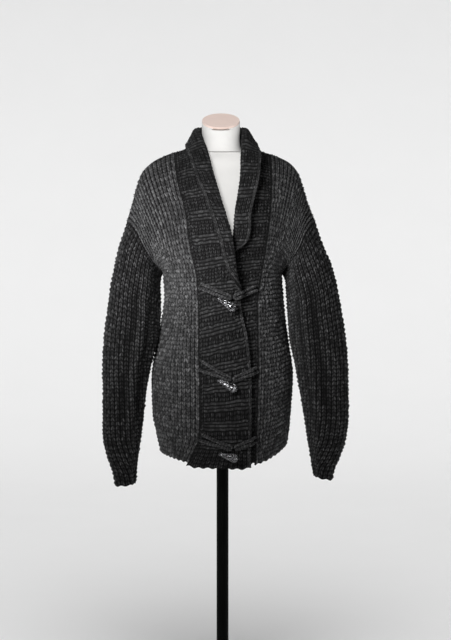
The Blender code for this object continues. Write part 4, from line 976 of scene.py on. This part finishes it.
def sleeve_rings(side, armhole):
    """Rings down the sleeve: the armhole, then superellipses with a lengthwise ridge and a trough
    beside it, which are bell curves added to a ring's size."""
    table = RIGHT_SLEEVE if side == "right" else LEFT_SLEEVE
    outer_x, outer_z, inner_x, inner_z, middle_y, depth = table.T[..., None]
    angle = np.linspace(0, 2 * math.pi, RING_POINTS, endpoint=False)[None, :]
    trough = bell(angle - CREASE_ANGLE - TROUGH_STEP, TROUGH_WIDTH)
    grow = 1 + CREASE * bell(angle - CREASE_ANGLE, CREASE_WIDTH) - CREASE * trough
    across, deep = (part * grow for part in squarish(angle))
    x = (outer_x + inner_x) / 2 + (outer_x - inner_x) / 2 * across
    z = (outer_z + inner_z) / 2 + (outer_z - inner_z) / 2 * across
    run = lengths(armhole)
    first = on_line(run, armhole, np.linspace(0, run[-1], RING_POINTS, endpoint=False))
    return np.concatenate([first[None], np.stack([x, middle_y - depth * deep, z], axis=-1)])


def sleeve_grid(side, armhole):
    """Lines a fixed distance apart from the outer line, which end where they reach the inner seam,
    their normals, how clear of that seam each point is, and the wales on either side."""
    rings = sleeve_rings(side, armhole[0])
    knots = lengths(rings.mean(axis=1))
    levels = np.linspace(0, knots[-1], SLEEVE_ROWS * FINE[1] + 1)
    dense = cubic(knots, rings.reshape(len(rings), -1), levels).reshape(-1, RING_POINTS, 3)
    looped = np.concatenate([dense, dense[:, :1]], axis=1)
    wales = int(np.ceil(steps_of(looped, 1).sum(axis=1).max() / 2 / SLEEVE_WALE))
    place = np.arange(-wales * FINE[0], wales * FINE[0] + 1)[None, :] * SLEEVE_WALE / FINE[0]
    lines = [armhole[0], *looped[1:]]
    runs = [lengths(line) for line in lines]
    reach = np.array([run[-1] / 2 for run in runs])[:, None]
    clear = np.clip((reach - np.abs(place)) / (SLEEVE_WALE / 2), 0, 1)
    where = np.clip(place, -reach, reach)
    grid = [on_line(run, line, at % run[-1]) for line, run, at in zip(lines, runs, where)]
    across = np.gradient(np.concatenate([dense[:, -2:], dense, dense[:, :2]], axis=1), axis=1)
    out = unit(np.cross(across[:, 2:-2], np.gradient(dense, axis=0)))
    outwards = (out * (dense - dense.mean(axis=1, keepdims=True))).sum(axis=-1, keepdims=True)
    out = out * np.sign(outwards)
    out = np.concatenate([out, out[:, :1]], axis=1)
    rounds = [lengths(line) for line in looped]
    facing = [on_line(run, normal, at % run[-1]) for run, normal, at in zip(rounds, out, where)]
    facing[0] = on_line(runs[0], armhole[1], where[0] % runs[0][-1])
    return np.stack(grid), unit(np.stack(facing)), clear, wales


def make_sleeve(settings, side, armhole, material):
    """A sleeve knitted as a tube, its wales parallel to the outer line, with the stitches taken in
    underneath.

    A soft crease runs down its front: exp(-(d / 8 mm)^2) - 0.6 exp(-((|d| - 22 mm) / 12 mm)^2)
    times the crease's height, d being the distance round the sleeve from the crease. It fades in
    over rows 6 to 14 and out over rows 36 to 50. Its troughs are also darkened, as painted shade.
    """
    base, out, clear, wales = sleeve_grid(side, armhole)
    k, w = stitch_lines(SLEEVE_ROWS, FINE[1]), stitch_lines(2 * wales, FINE[0])
    height, zigzag = stitches(settings, k, w, DRAWS["sleeve_" + side], ribbing=1.2)
    soft = edge_fade(k, w, **SLEEVE_FADE) * clear
    zigzag = zigzag * edge_fade(k, w, bottom=1, top=1) * step(0, 1, clear)
    row = (k[:, None] + zigzag) / SLEEVE_ROWS * (base.shape[0] - 1)
    point, facing = placed(base, out, row, w[None, :] * FINE[0])
    point = wavy(point, k[-1] - k, w)
    reach = steps_of(base, 1).sum(axis=1)[np.clip(row.astype(int), 0, len(base) - 1)] / 2
    front = -np.sign(facing[:, w > wales, 1].mean())
    away = front * (w - wales)[None, :] * SLEEVE_WALE - CREASE_AT * reach
    along_sleeve = (step(6, 14, k) * step(50, 36, k))[:, None]
    fold = bell(away, 0.008) - 0.6 * bell(np.abs(away) - 0.022, 0.012)
    crease = settings.crease * along_sleeve * fold
    point = point + facing * crease[..., None]
    outer = point + facing * (height * soft)[..., None]
    inner = (point - facing * settings.wall)[::FINE[1], ::FINE[0]]
    # painted shade: the crease's troughs darken the relief by up to 0.6, on top of the gaps'
    # painted shade
    shade = relief_of(height, soft) * (1 - 0.6 * np.clip(-crease / settings.crease, 0, 1))
    return shell("sleeve_" + side + "_knit", outer, inner, yarn_map(k, w), shade, material,
                 closed=True)


# --- cords and toggles ---------------------------------------------------------
def front_of(names):
    """A search tree over the named pieces, for what is laid on them."""
    points, faces, first = [], [], 0
    for name in names:
        mesh = bpy.data.objects[name].data
        mesh.calc_loop_triangles()
        place = np.empty(len(mesh.vertices) * 3)
        corners = np.empty(len(mesh.loop_triangles) * 3, np.int32)
        mesh.vertices.foreach_get("co", place)
        mesh.loop_triangles.foreach_get("vertices", corners)
        points += place.reshape(-1, 3).tolist()
        faces += (corners.reshape(-1, 3) + first).tolist()
        first += len(mesh.vertices)
    return BVHTree.FromPolygons(points, faces)


def laid_on(tree, x, z, radius):
    """The y at which a ball of this radius just clears the front, seen from ahead: rays over its
    disc."""
    nearest = 0.0
    for turn in range(12):
        angle = turn * math.pi / 6
        for share in (0.0, 0.6, 0.9):
            out = share * radius
            start = (x + out * math.cos(angle), -0.5, z + out * math.sin(angle))
            hit = tree.ray_cast(start, (0, 1, 0))[0]
            if hit is not None:
                nearest = min(nearest, hit.y - math.sqrt(1 - share**2) * radius)
    return nearest - LIFT_CLEAR


def laid_path(tree, flat, radii):
    """A path in front of the tree's pieces through the given x and z, clear of them along each
    stretch too."""
    y = np.array([laid_on(tree, x, z, radius) for (x, z), radius in zip(flat, radii)])
    for share in (0.25, 0.5, 0.75):
        for i in range(len(flat) - 1):
            x, z = flat[i] + (flat[i + 1] - flat[i]) * share
            short = laid_on(tree, x, z, radii[i]) - (y[i] + (y[i + 1] - y[i]) * share)
            y[i:i + 2] += min(short, 0.0)
    return np.stack([flat[:, 0], y, flat[:, 1]], axis=-1)


def swept(path, radii):
    """Rings of points round a path, r(t, a) (cos a side + sin a other), and their directions.

    The radii are an array of t and a. Every ring's first and last points are in one place, so that
    the yarn's map can run on over the join.
    """
    rings, sides = radii.shape
    run = lengths(path)
    centre = cubic(run, path, np.linspace(0, run[-1], rings))
    heading = unit(np.gradient(centre, axis=0))
    side = unit(np.cross(heading, (0.0, 1.0, 0.0)))
    other = np.cross(heading, side)
    angle = np.linspace(0, 2 * math.pi, sides)[None, :]
    ring = round_axis(angle, side[:, None], other[:, None])
    return centre[:, None] + ring * radii[..., None], ring


def tube(name, grid, slot, material, uv=None, relief=None):
    """A closed tube from rings of points, its ends shut by fans to their middles."""
    points = np.concatenate([grid.reshape(-1, 3), grid[[0, -1], :-1].mean(axis=1)])
    if uv is not None:
        uv = np.concatenate([uv.reshape(-1, 2), uv[[0, -1], 0]])
        relief = np.concatenate([relief.reshape(-1), [0.5, 0.5]])
    return make_mesh(name, points, *tube_faces(*grid.shape[:2]), slot, material, uv, relief)


def cord_flat(start_x, start_z, end_x, end_z, spread):
    """Where a loop's cord runs, seen from ahead: out along one strand, round the bend, and back
    along the other."""
    start, end = np.array([start_x, start_z]), np.array([end_x, end_z])
    heading = unit(end - start)
    side = np.array([-heading[1], heading[0]])
    count = 3 + int(round(np.linalg.norm(end - start) / 0.011))
    t = np.linspace(0, 1, count)[:, None]
    middle = start + (end - start) * t
    apart = (spread + (CORD_PITCH - spread) * np.minimum(1, 1.4 * t)) / 2
    angle = np.linspace(math.pi / 2, -math.pi / 2, 8)[1:-1]
    bend = end + CORD_PITCH / 2 * round_axis(angle, heading, side)
    return np.concatenate([middle + side * apart, bend, (middle - side * apart)[::-1]])


def make_cord(settings, tree, name, ends, material):
    """A knitted cord: a tube with four wales of small stitches round it, and rows all along."""
    flat = cord_flat(*ends)
    path = laid_path(tree, flat, np.full(len(flat), settings.cord_radius))
    rows = int(round(lengths(path)[-1] / CORD_ROW))
    k, w = stitch_lines(rows, CORD_FINE), stitch_lines(CORD_WALES, CORD_FINE)
    across, along_leg = 2 * w - np.floor(2 * w), k - np.floor(k)
    leg = np.sqrt(np.clip(1 - (2 * across - 1) ** 2, 0, 1))[None, :]
    leg = leg * (np.sin(math.pi * along_leg) ** 0.7)[:, None]
    from_end = np.minimum(k, k[-1] - k)[:, None]
    close = np.minimum(1, from_end + 0.35)
    grid = swept(path, settings.cord_radius * (0.74 + 0.34 * leg) * close)[0]
    zigzag = 0.55 * vee(w) * np.minimum(1, from_end)
    row = np.clip((k[:, None] + zigzag) * CORD_FINE, 0, len(k) - 1)
    slid = sample(grid, row, np.arange(len(w))[None, :])
    slid[:, -1] = slid[:, 0]
    # painted shade: the cord is darker between its legs and at its ends, never below 0.35
    shade = 0.35 + 0.65 * relief_of(leg * close)
    return tube(name + "_knit", slid, "charcoal_wool", material, yarn_map(k, w), shade)


def seated(tree, path, radii):
    """The path moved back until the tube round it comes as near to the tree's pieces as it may."""
    angle = np.arange(16) * math.pi / 8
    disc = np.stack([0 * angle, np.cos(angle), np.sin(angle)], -1)
    for _ in range(8):
        around = path[:, None] + radii[:, None, None] * disc
        nearest = min(tree.find_nearest(point)[3] for point in around.reshape(-1, 3))
        path[:, 1] += max(nearest - SEAT_CLEAR, 0.0)
    return path


def toggle_line(tree, narrow_x, narrow_z, wide_x, wide_z):
    """The middle line of a toggle, laid on the bands and cords: a straight line fitted to a laid
    path, moved forward until it is clear, and seated."""
    share, radii = TOGGLE_PROFILE.T
    start, end = np.array([narrow_x, narrow_z]), np.array([wide_x, wide_z])
    path = laid_path(tree, start + (end - start) * share[:, None], radii)
    line = np.polyval(np.polyfit(share, path[:, 1], 1), share)
    path[:, 1] = line + (path[:, 1] - line).min()
    return seated(tree, path, radii)


def stone_places(path, share, radius, axes, size):
    """Where stones stand on a toggle and which way they face: on rings a stone apart, each shifted
    by half a stone, then six and one on the wide end."""
    total, heading = lengths(path)[-1], unit(path[-1] - path[0])
    slopes = np.gradient(radius, share * total)
    spots, outs = [], []
    for index, at in enumerate(np.arange(0.8 * size, total, size * 0.98) / total):
        r = float(np.interp(at, share, radius))
        around = max(5, int(2 * math.pi * r / (size * 1.02)))
        angle = (np.arange(around) + 0.5 * (index % 2)) * 2 * math.pi / around
        radial = round_axis(angle, *axes)
        spots.append(path[0] + heading * at * total + radial * r)
        outs.append(unit(radial - heading * float(np.interp(at, share, slopes))))
    six = round_axis(np.arange(6) * math.pi / 3, *axes)
    spots += [path[-1] + heading * 0.0012 + six * 0.0036, (path[-1] + heading * 0.0020)[None]]
    outs += [np.tile(heading, (6, 1)), heading[None]]
    return np.concatenate(spots), np.concatenate(outs)


def cut_stones(spots, outs, tilt, size, first):
    """Points and faces of cut cones: a low square-cut ring, a crown and a flat table, six-sided."""
    one = unit(np.cross(outs, tilt))
    two = np.cross(outs, one)
    angle = np.arange(STONE_SIDES)[None] * math.pi / 3
    rim = round_axis(angle, one[:, None], two[:, None])
    points = np.stack([spots[:, None] + rim * size * wide + outs[:, None] * size * high
                       for high, wide in STONE_LEVELS], axis=1).reshape(-1, 3)
    c = np.arange(STONE_SIDES)
    n, crown, table = (c + 1) % STONE_SIDES, STONE_SIDES, 2 * STONE_SIDES
    flat = np.array([[0, 1, 2, 3], [0, 3, 4, 5]])
    faces = np.concatenate([
        np.stack([c, n, crown + n, crown + c], -1),
        np.stack([crown + c, crown + n, table + n, table + c], -1),
        table + flat, 5 - flat,
    ])
    firsts = first + np.arange(len(spots)) * len(STONE_LEVELS) * STONE_SIDES
    return points, (firsts[:, None, None] + faces[None]).reshape(-1, 4)


def make_toggle(settings, tree, number, ends, material):
    """A turned cone, the outline turned about its line, set all over with stones, row by row."""
    path = toggle_line(tree, *ends)
    heading = unit(path[-1] - path[0])
    share = np.linspace(0, 1, TOGGLE_RINGS)
    radius = cubic(TOGGLE_PROFILE[:, 0], TOGGLE_PROFILE[:, 1:], share)[:, 0] * TOGGLE_CORE
    radii = np.repeat(radius[:, None], TOGGLE_SIDES + 1, axis=1)
    grid, ring = swept(path[[0, -1]], radii)
    squares, caps = tube_faces(TOGGLE_RINGS, TOGGLE_SIDES + 1)
    tips = [path[0] - heading * 0.0010, path[-1] + heading * 0.0022]
    body = np.concatenate([grid.reshape(-1, 3), tips])
    axes = ring[0, 0], ring[0, TOGGLE_SIDES // 4]
    spots, outs = stone_places(path, share, radius, axes, settings.stone)
    dice = np.random.default_rng(DRAWS["toggle"] + number)
    outs = unit(outs + dice.normal(0, 0.10, outs.shape))
    points, faces = cut_stones(spots, outs, heading + 0.3, settings.stone, len(body))
    return make_mesh("toggle_" + str(number) + "_studded", np.concatenate([body, points]),
                     np.concatenate([squares, faces]), caps, "toggle_crystal", material, cut=True)


# --- dress form ----------------------------------------------------------------
def make_torso(material):
    """The torso: superellipses whose widths and depths are cubics of the height, shut flat."""
    level = np.linspace(TORSO[0, 0], TORSO[-1, 0], 121)
    width, front, behind = cubic(TORSO[:, 0], TORSO[:, 1:], level).T[..., None]
    middle = NECK_X * np.clip((level - UNDERARM) / (TORSO[-1, 0] - UNDERARM), 0, 1)
    across, deep = squarish(np.linspace(0, 2 * math.pi, 97)[None, :])
    y = np.where(deep < 0, front, behind) * deep
    grid = np.stack([middle[:, None] + width * across, y, level[:, None] + 0 * y], axis=-1)
    return tube("form_torso_cover", grid, "form_cover", material)


def make_neck(material):
    """The neck: rings that lean and tilt towards the cap."""
    run = lengths(NECK_RINGS[:, :2])
    rings = cubic(run / run[-1], NECK_RINGS, np.linspace(0, 1, 61))
    height, radius, lean = rings.T[..., None]
    across, deep = squarish(np.linspace(0, 2 * math.pi, 97)[None, :])
    y = NECK_Y * lean + radius * deep
    z = height + lean**4 * math.tan(NECK_TILT) * radius * deep
    grid = np.stack([NECK_X + radius * across, y, z], axis=-1)
    return tube("form_neck_cover", grid, "form_cover", material)


# --- finishes ------------------------------------------------------------------
def wire(node, sockets):
    """Links or sets a node's inputs, by name or, as i0, i1 and so on, by number."""
    for key, value in sockets.items():
        numbered = key[0] == "i" and key[1:].isdigit()
        socket = node.inputs[int(key[1:]) if numbered else key.replace("_", " ")]
        if isinstance(value, bpy.types.NodeSocket):
            node.id_data.links.new(value, socket)
        else:
            socket.default_value = value


def finish(name):
    """A new material, a way to add a node to it, which gives that node's output, and a way to set
    its shader's inputs."""
    made = bpy.data.materials.new(name)
    made.use_nodes = True
    nodes = made.node_tree.nodes

    def add(kind, output=0, settings=None, **sockets):
        node = nodes.new("ShaderNode" + kind)
        for key, value in (settings or {}).items():
            setattr(node, key, value)
        wire(node, sockets)
        return node.outputs[output]

    def shade(**sockets):
        wire(nodes["Principled BSDF"], sockets)

    return made, add, shade


def ramp(add, factor, stops):
    """A colour ramp through (place, colour) stops."""
    colour = add("ValToRGB", Fac=factor)
    elements = colour.node.color_ramp.elements
    for index, (place, tone) in enumerate(stops):
        stop = elements[index] if index < 2 else elements.new(place)
        stop.position, stop.color = place, (*tone, 1.0)
    return colour


def times(colour, share):
    """A colour made lighter or darker."""
    return tuple(c * share for c in colour)


def plus(add, value, share, rest):
    """value times share plus rest."""
    return add("Math", 0, {"operation": "MULTIPLY_ADD"}, i0=value, i1=share, i2=rest)


def wool(name, colours, tone):
    """Heathered two-ply wool: flecks along the yarn, plies as slanting stripes, short loose fibres.

    Each stitch is a little lighter or darker than the next by white noise on its whole numbers. The
    yarn's map runs across the legs in x and along them in y. A ply is sin(2 pi (2.5 y + x)), and
    fibres are noise stretched along y. Gaps between stitches are darker by their relief: painted
    shade, as are sewn edges, the inside and the sleeves' crease troughs.
    """
    made, add, shade = finish(name)
    uv = add("UVMap", 0, {"uv_map": "yarn"})
    place = add("TexCoord", "Object")
    parts = add("SeparateXYZ", Vector=uv).node.outputs
    slant = plus(add, parts["Y"], 2.5, parts["X"])
    turn = add("Math", 0, {"operation": "MULTIPLY"}, i0=slant, i1=2 * math.pi)
    ply = add("Math", 0, {"operation": "SINE"}, i0=turn)
    stretched = add("Mapping", Vector=uv, Scale=(9.0, 2.2, 1.0))
    fibre = add("TexNoise", Vector=stretched, Scale=2.0, Detail=3.0, Roughness=0.7)
    fleck = add("TexNoise", Vector=place, Scale=420.0, Detail=3.0, Roughness=0.75)
    cloud = add("TexNoise", Vector=place, Scale=9.0, Detail=2.0)
    both = plus(add, fleck, 0.45, plus(add, fibre, 0.55, 0.0))
    stitch = add("VectorMath", 0, {"operation": "FLOOR"}, i0=uv)
    odd = add("TexWhiteNoise", 0, {"noise_dimensions": "2D"}, Vector=stitch)
    mottled = plus(add, cloud, 0.04, plus(add, odd, 0.15, both))
    # a tone below 1 paints shade over the whole part
    dark, light = times(colours.wool_dark, tone), times(colours.wool_light, tone)
    middle = tuple((a + b) / 3.6 for a, b in zip(dark, light))
    colour = ramp(add, mottled, ((0.46, dark), (0.78, light), (0.64, middle)))
    relief = add("Attribute", "Fac", {"attribute_name": "relief"})
    # painted shade: the colour is multiplied down where the relief is low, in gaps, at sewn edges
    # and inside
    gap = add("MapRange", 0, {"interpolation_type": "SMOOTHSTEP"},
              Value=relief, i1=0.22, i2=0.96, i3=0.01, i4=1.0)
    deep = add("Mix", 2, {"data_type": "RGBA", "blend_type": "MULTIPLY"}, i0=1.0, i6=colour, i7=gap)
    tall = plus(add, ply, 0.5, fibre)
    low = add("Bump", Strength=0.55, Distance=0.0009, Height=tall)
    fuzz = add("TexNoise", Vector=place, Scale=1300.0, Detail=2.0)
    bump = add("Bump", Strength=0.45, Distance=0.0004, Height=fuzz, Normal=low)
    shade(Base_Color=deep, Roughness=0.92, Specular_IOR_Level=0.18, Sheen_Weight=0.08,
          Sheen_Roughness=0.55, Sheen_Tint=(0.42, 0.42, 0.43, 1.0), Normal=bump)
    return made


def jersey(name, colour, rough):
    """Fine knitted cover: small stretched noise for its weave, faint mottling, and soft sheen."""
    made, add, shade = finish(name)
    place = add("TexCoord", "Object")
    cloud = add("TexNoise", Vector=place, Scale=24.0, Detail=4.0)
    stretched = add("Mapping", Vector=place, Scale=(1.0, 1.0, 0.45))
    weave = add("TexNoise", Vector=stretched, Scale=1500.0, Detail=1.0)
    mottled = ramp(add, cloud, ((0.3, times(colour, 0.95)), (0.7, colour)))
    bump = add("Bump", Strength=0.25, Distance=0.0003, Height=weave)
    shade(Base_Color=mottled, Roughness=rough, Specular_IOR_Level=0.3, Sheen_Weight=0.15,
          Normal=bump)
    return made


def crystals(name, colour):
    """Cut stones in dark silver: brightness and gloss differ from facet to facet."""
    made, add, shade = finish(name)
    cell = add("TexVoronoi", "Color", {"feature": "F1"}, Vector=add("TexCoord", "Object"),
               Scale=460.0)
    grey = add("RGBToBW", Color=cell)
    bright = tuple(min(1.0, c) for c in times(colour, 2.6))
    facets = ramp(add, grey, ((0.42, times(colour, 0.03)), (0.66, bright)))
    shade(Base_Color=facets, Metallic=0.9, Coat_Weight=0.25, Coat_Roughness=0.05,
          Roughness=add("MapRange", Value=grey, i3=0.10, i4=0.30))
    return made


def paint(name, colour):
    """Satin black paint: faint orange peel, and dust that dulls it in patches."""
    made, add, shade = finish(name)
    place = add("TexCoord", "Object")
    peel = add("TexNoise", Vector=place, Scale=700.0, Detail=1.0)
    dust = add("TexNoise", Vector=place, Scale=30.0, Detail=5.0, Roughness=0.7)
    shade(Base_Color=ramp(add, dust, ((0.45, colour), (0.85, times(colour, 2.2)))),
          Roughness=add("MapRange", Value=dust, i3=0.45, i4=0.65), Specular_IOR_Level=0.05,
          Normal=add("Bump", Strength=0.12, Distance=0.0002, Height=peel))
    return made


def backdrop_paper(name, colour):
    """Matte backdrop paper with barely any mottling."""
    made, add, shade = finish(name)
    cloud = add("TexNoise", Vector=add("TexCoord", "Object"), Scale=3.0, Detail=3.0)
    shade(Base_Color=ramp(add, cloud, ((0.2, times(colour, 0.985)), (0.8, colour))),
          Roughness=0.95, Specular_IOR_Level=0.1)
    return made


def material_named(name, make, *details):
    """The material of that name, made on first use."""
    return bpy.data.materials.get(name) or make(name, *details)


def wool_material(scene, part, tone):
    """The wool of one part: the same yarn, darkened by the part's tone as painted shade."""
    return material_named("charcoal wool, " + part, wool, scene.cardigan_colours, tone)


def replace_slots(node, material):
    """Gives a carried-over solid a better finish, leaving its mesh as it is."""
    for slot in bpy.data.objects[node].material_slots:
        slot.link = "OBJECT"
        slot.material = material


# --- stage ---------------------------------------------------------------------
def room_light(scene, strength):
    """Even light from all round, behind which the camera sees the backdrop's own pale grey."""
    world = bpy.data.worlds.new("room")
    world.use_nodes = True
    nodes, links = world.node_tree.nodes, world.node_tree.links
    light, seen = nodes["Background"], nodes.new("ShaderNodeBackground")
    mix, path = nodes.new("ShaderNodeMixShader"), nodes.new("ShaderNodeLightPath")
    light.inputs["Strength"].default_value = strength
    light.inputs["Color"].default_value = (1.0, 1.0, 1.0, 1.0)
    seen.inputs["Color"].default_value = (SEEN_GREY, SEEN_GREY, SEEN_GREY, 1.0)
    links.new(path.outputs["Is Camera Ray"], mix.inputs[0])
    links.new(light.outputs[0], mix.inputs[1])
    links.new(seen.outputs[0], mix.inputs[2])
    links.new(mix.outputs[0], nodes["World Output"].inputs["Surface"])
    scene.world = world


def make_backdrop(material):
    """A floor that bends up in a quarter circle behind the form, carried straight across."""
    angle = np.linspace(0, math.pi / 2, 25)
    bend = [BACKDROP_Y - SWEEP + SWEEP * np.sin(angle), SWEEP - SWEEP * np.cos(angle)]
    ends = [[FLOOR_FRONT, 0.0]], [[BACKDROP_Y, BACKDROP_TOP]]
    profile = np.concatenate([ends[0], np.stack(bend, -1), ends[1]])
    across = np.linspace(-BACKDROP_HALF, BACKDROP_HALF, 7)
    grid = np.broadcast_arrays(across[None, :], profile[:, :1], profile[:, 1:])
    points = np.stack(grid, axis=-1).reshape(-1, 3)
    mesh = bpy.data.meshes.new("backdrop")
    mesh.from_pydata(points.tolist(), [], square_indices(len(profile), len(across)).tolist())
    mesh.shade_smooth()
    mesh.materials.append(material)
    backdrop = bpy.data.objects.new("backdrop", mesh)
    bpy.context.scene.collection.objects.link(backdrop)


def make_light(name, kind, strength, size, place, aim, only):
    """A light at a place, turned towards its aim, that falls on the named pieces alone."""
    lamp = bpy.data.lights.new(name, kind)
    lamp.energy = strength
    if kind == "AREA":
        lamp.size, lamp.spread = size, LIGHT_SPREAD
    else:
        lamp.angle = SUN_SPREAD
    light = bpy.data.objects.new(name, lamp)
    light.location = place
    light.rotation_euler = (Vector(aim) - Vector(place)).to_track_quat("-Z", "Y").to_euler()
    bpy.context.scene.collection.objects.link(light)
    lit = bpy.data.collections.new(name + " falls on")
    for piece in only:
        lit.objects.link(bpy.data.objects[piece])
    light.light_linking.receiver_collection = lit


def make_camera(scene):
    """The camera, ahead of the form and tilted down a little."""
    camera = bpy.data.cameras.new("camera")
    camera.sensor_width, camera.lens = SENSOR, LENS
    eye = bpy.data.objects.new("camera", camera)
    eye.location, eye.rotation_euler = EYE, (EYE_TILT, 0, 0)
    scene.collection.objects.link(eye)
    scene.camera = eye


# --- operators -----------------------------------------------------------------
class CARDIGAN_OT_body(Operator):
    """Knit the two fronts and the back"""

    bl_idname = "cardigan.body"
    bl_label = "Fronts and back"

    def execute(self, context):
        knit = context.scene.cardigan_knit
        grids, outs = body_surfaces()
        material = wool_material(context.scene, "body", BODY_TONE)
        for name, node, wales, fine, ribbing in (
            ("right", "front_right", FRONT_WALES, FINE, front_ribbing),
            ("left", "front_left", FRONT_WALES, FINE, front_ribbing),
            ("back", "back", BACK_WALES, BACK_FINE, back_ribbing),
        ):
            base, out = respaced(grids[name]), unit(respaced(outs[name]))
            piece = knitted(node, knit, base, out, wales, fine, material, ribbing)
            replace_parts(piece, node)
        return {"FINISHED"}


class CARDIGAN_OT_bands(Operator):
    """Knit the two front bands with their halves of the shawl collar"""

    bl_idname = "cardigan.bands"
    bl_label = "Bands and collar"

    def execute(self, context):
        edges = band_edges(body_surfaces())
        material = wool_material(context.scene, "bands", BAND_PAINTED_SHADE)
        for side in ("right", "left"):
            piece, outer = make_band(context.scene.cardigan_knit, side, edges[side], material)
            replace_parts(piece, "band_" + side)
        return {"FINISHED"}


class CARDIGAN_OT_sleeves(Operator):
    """Knit the two sleeves"""

    bl_idname = "cardigan.sleeves"
    bl_label = "Sleeves"

    def execute(self, context):
        armholes = armhole_lines(body_surfaces())
        material = wool_material(context.scene, "sleeves", SLEEVE_PAINTED_SHADE)
        for side in ("right", "left"):
            piece = make_sleeve(context.scene.cardigan_knit, side, armholes[side], material)
            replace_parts(piece, "sleeve_" + side)
        return {"FINISHED"}


class CARDIGAN_OT_cords(Operator):
    """Knit the six cord loops"""

    bl_idname = "cardigan.cords"
    bl_label = "Cord loops"

    def execute(self, context):
        trim = context.scene.cardigan_trim
        tree = front_of((*BANDS, "front_right_knit", "front_left_knit"))
        material = wool_material(context.scene, "cords", CORD_TONE)
        for name, *ends in CORDS:
            piece = make_cord(trim, tree, name, ends, material)
            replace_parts(piece, name)
        return {"FINISHED"}


class CARDIGAN_OT_toggles(Operator):
    """Turn the three toggles and set their stones"""

    bl_idname = "cardigan.toggles"
    bl_label = "Toggles"

    def execute(self, context):
        trim, colours = context.scene.cardigan_trim, context.scene.cardigan_colours
        tree = front_of((*BANDS, *(cord[0] + "_knit" for cord in CORDS)))
        material = material_named("crystal stones", crystals, tuple(colours.crystal))
        for number, ends in enumerate(TOGGLES, 1):
            piece = make_toggle(trim, tree, number, ends, material)
            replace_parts(piece, "toggle_" + str(number))
        return {"FINISHED"}


class CARDIGAN_OT_form(Operator):
    """Cover the dress form and paint its stand"""

    bl_idname = "cardigan.form"
    bl_label = "Dress form"

    def execute(self, context):
        colours = context.scene.cardigan_colours
        cover = material_named("form jersey", jersey, tuple(colours.cover), 0.75)
        cap = material_named("cap cloth", jersey, tuple(colours.cap), 0.6)
        metal = material_named("stand paint", paint, tuple(colours.metal))
        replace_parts(make_torso(cover), "form_torso")
        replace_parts(make_neck(cover), "form_neck")
        replace_slots("form_neck_cap", cap)
        replace_slots("stand_pole", metal)
        replace_slots("stand_base", metal)
        return {"FINISHED"}


class CARDIGAN_OT_stage(Operator):
    """Set up the backdrop, the lights and the camera"""

    bl_idname = "cardigan.stage"
    bl_label = "Stage"

    def execute(self, context):
        scene, stage = context.scene, context.scene.cardigan_stage
        knits = [piece.name for piece in scene.objects
                 if piece.type == "MESH" and piece.name not in FORM_PIECES]
        make_backdrop(backdrop_paper("backdrop paper", tuple(stage.backdrop)))
        room_light(scene, stage.sky)
        for light in (
            ("key", "AREA", stage.key_power, 0.45, *KEY_LINE, knits),
            ("form light", "AREA", stage.form_power, 1.0, *FORM_LINE, FORM_PIECES),
            ("backdrop light", "SUN", stage.wall_strength, 0.0, *WALL_LINE, ("backdrop",)),
        ):
            make_light(*light)
        make_camera(scene)
        scene.view_settings.view_transform = "Standard"
        return {"FINISHED"}


class CARDIGAN_PT_panel(Panel):
    """Settings and steps of the cardigan"""

    bl_idname = "CARDIGAN_PT_panel"
    bl_label = "Cardigan"
    bl_space_type = "VIEW_3D"
    bl_region_type = "UI"
    bl_category = "Cardigan"

    def draw(self, context):
        for group in SETTINGS:
            settings, box = getattr(context.scene, group), self.layout.box()
            for name in settings.__annotations__:
                box.prop(settings, name)
        for step_class in STEPS:
            self.layout.operator(step_class.bl_idname)


SETTINGS = {
    "cardigan_knit": CardiganKnitSettings,
    "cardigan_trim": CardiganTrimSettings,
    "cardigan_colours": CardiganColourSettings,
    "cardigan_stage": CardiganStageSettings,
}
STEPS = (
    CARDIGAN_OT_body, CARDIGAN_OT_bands, CARDIGAN_OT_sleeves, CARDIGAN_OT_cords,
    CARDIGAN_OT_toggles, CARDIGAN_OT_form, CARDIGAN_OT_stage,
)


def register():
    for made in (*SETTINGS.values(), *STEPS, CARDIGAN_PT_panel):
        bpy.utils.register_class(made)
    for name, group in SETTINGS.items():
        setattr(bpy.types.Scene, name, PointerProperty(type=group))


def unregister():
    for name in SETTINGS:
        delattr(bpy.types.Scene, name)
    for made in (CARDIGAN_PT_panel, *reversed(STEPS), *reversed(SETTINGS.values())):
        bpy.utils.unregister_class(made)


def main():
    register()
    bpy.ops.cardigan.body()
    bpy.ops.cardigan.bands()
    bpy.ops.cardigan.sleeves()
    bpy.ops.cardigan.cords()
    bpy.ops.cardigan.toggles()
    bpy.ops.cardigan.form()
    bpy.ops.cardigan.stage()


if __name__ == "__main__":
    main()
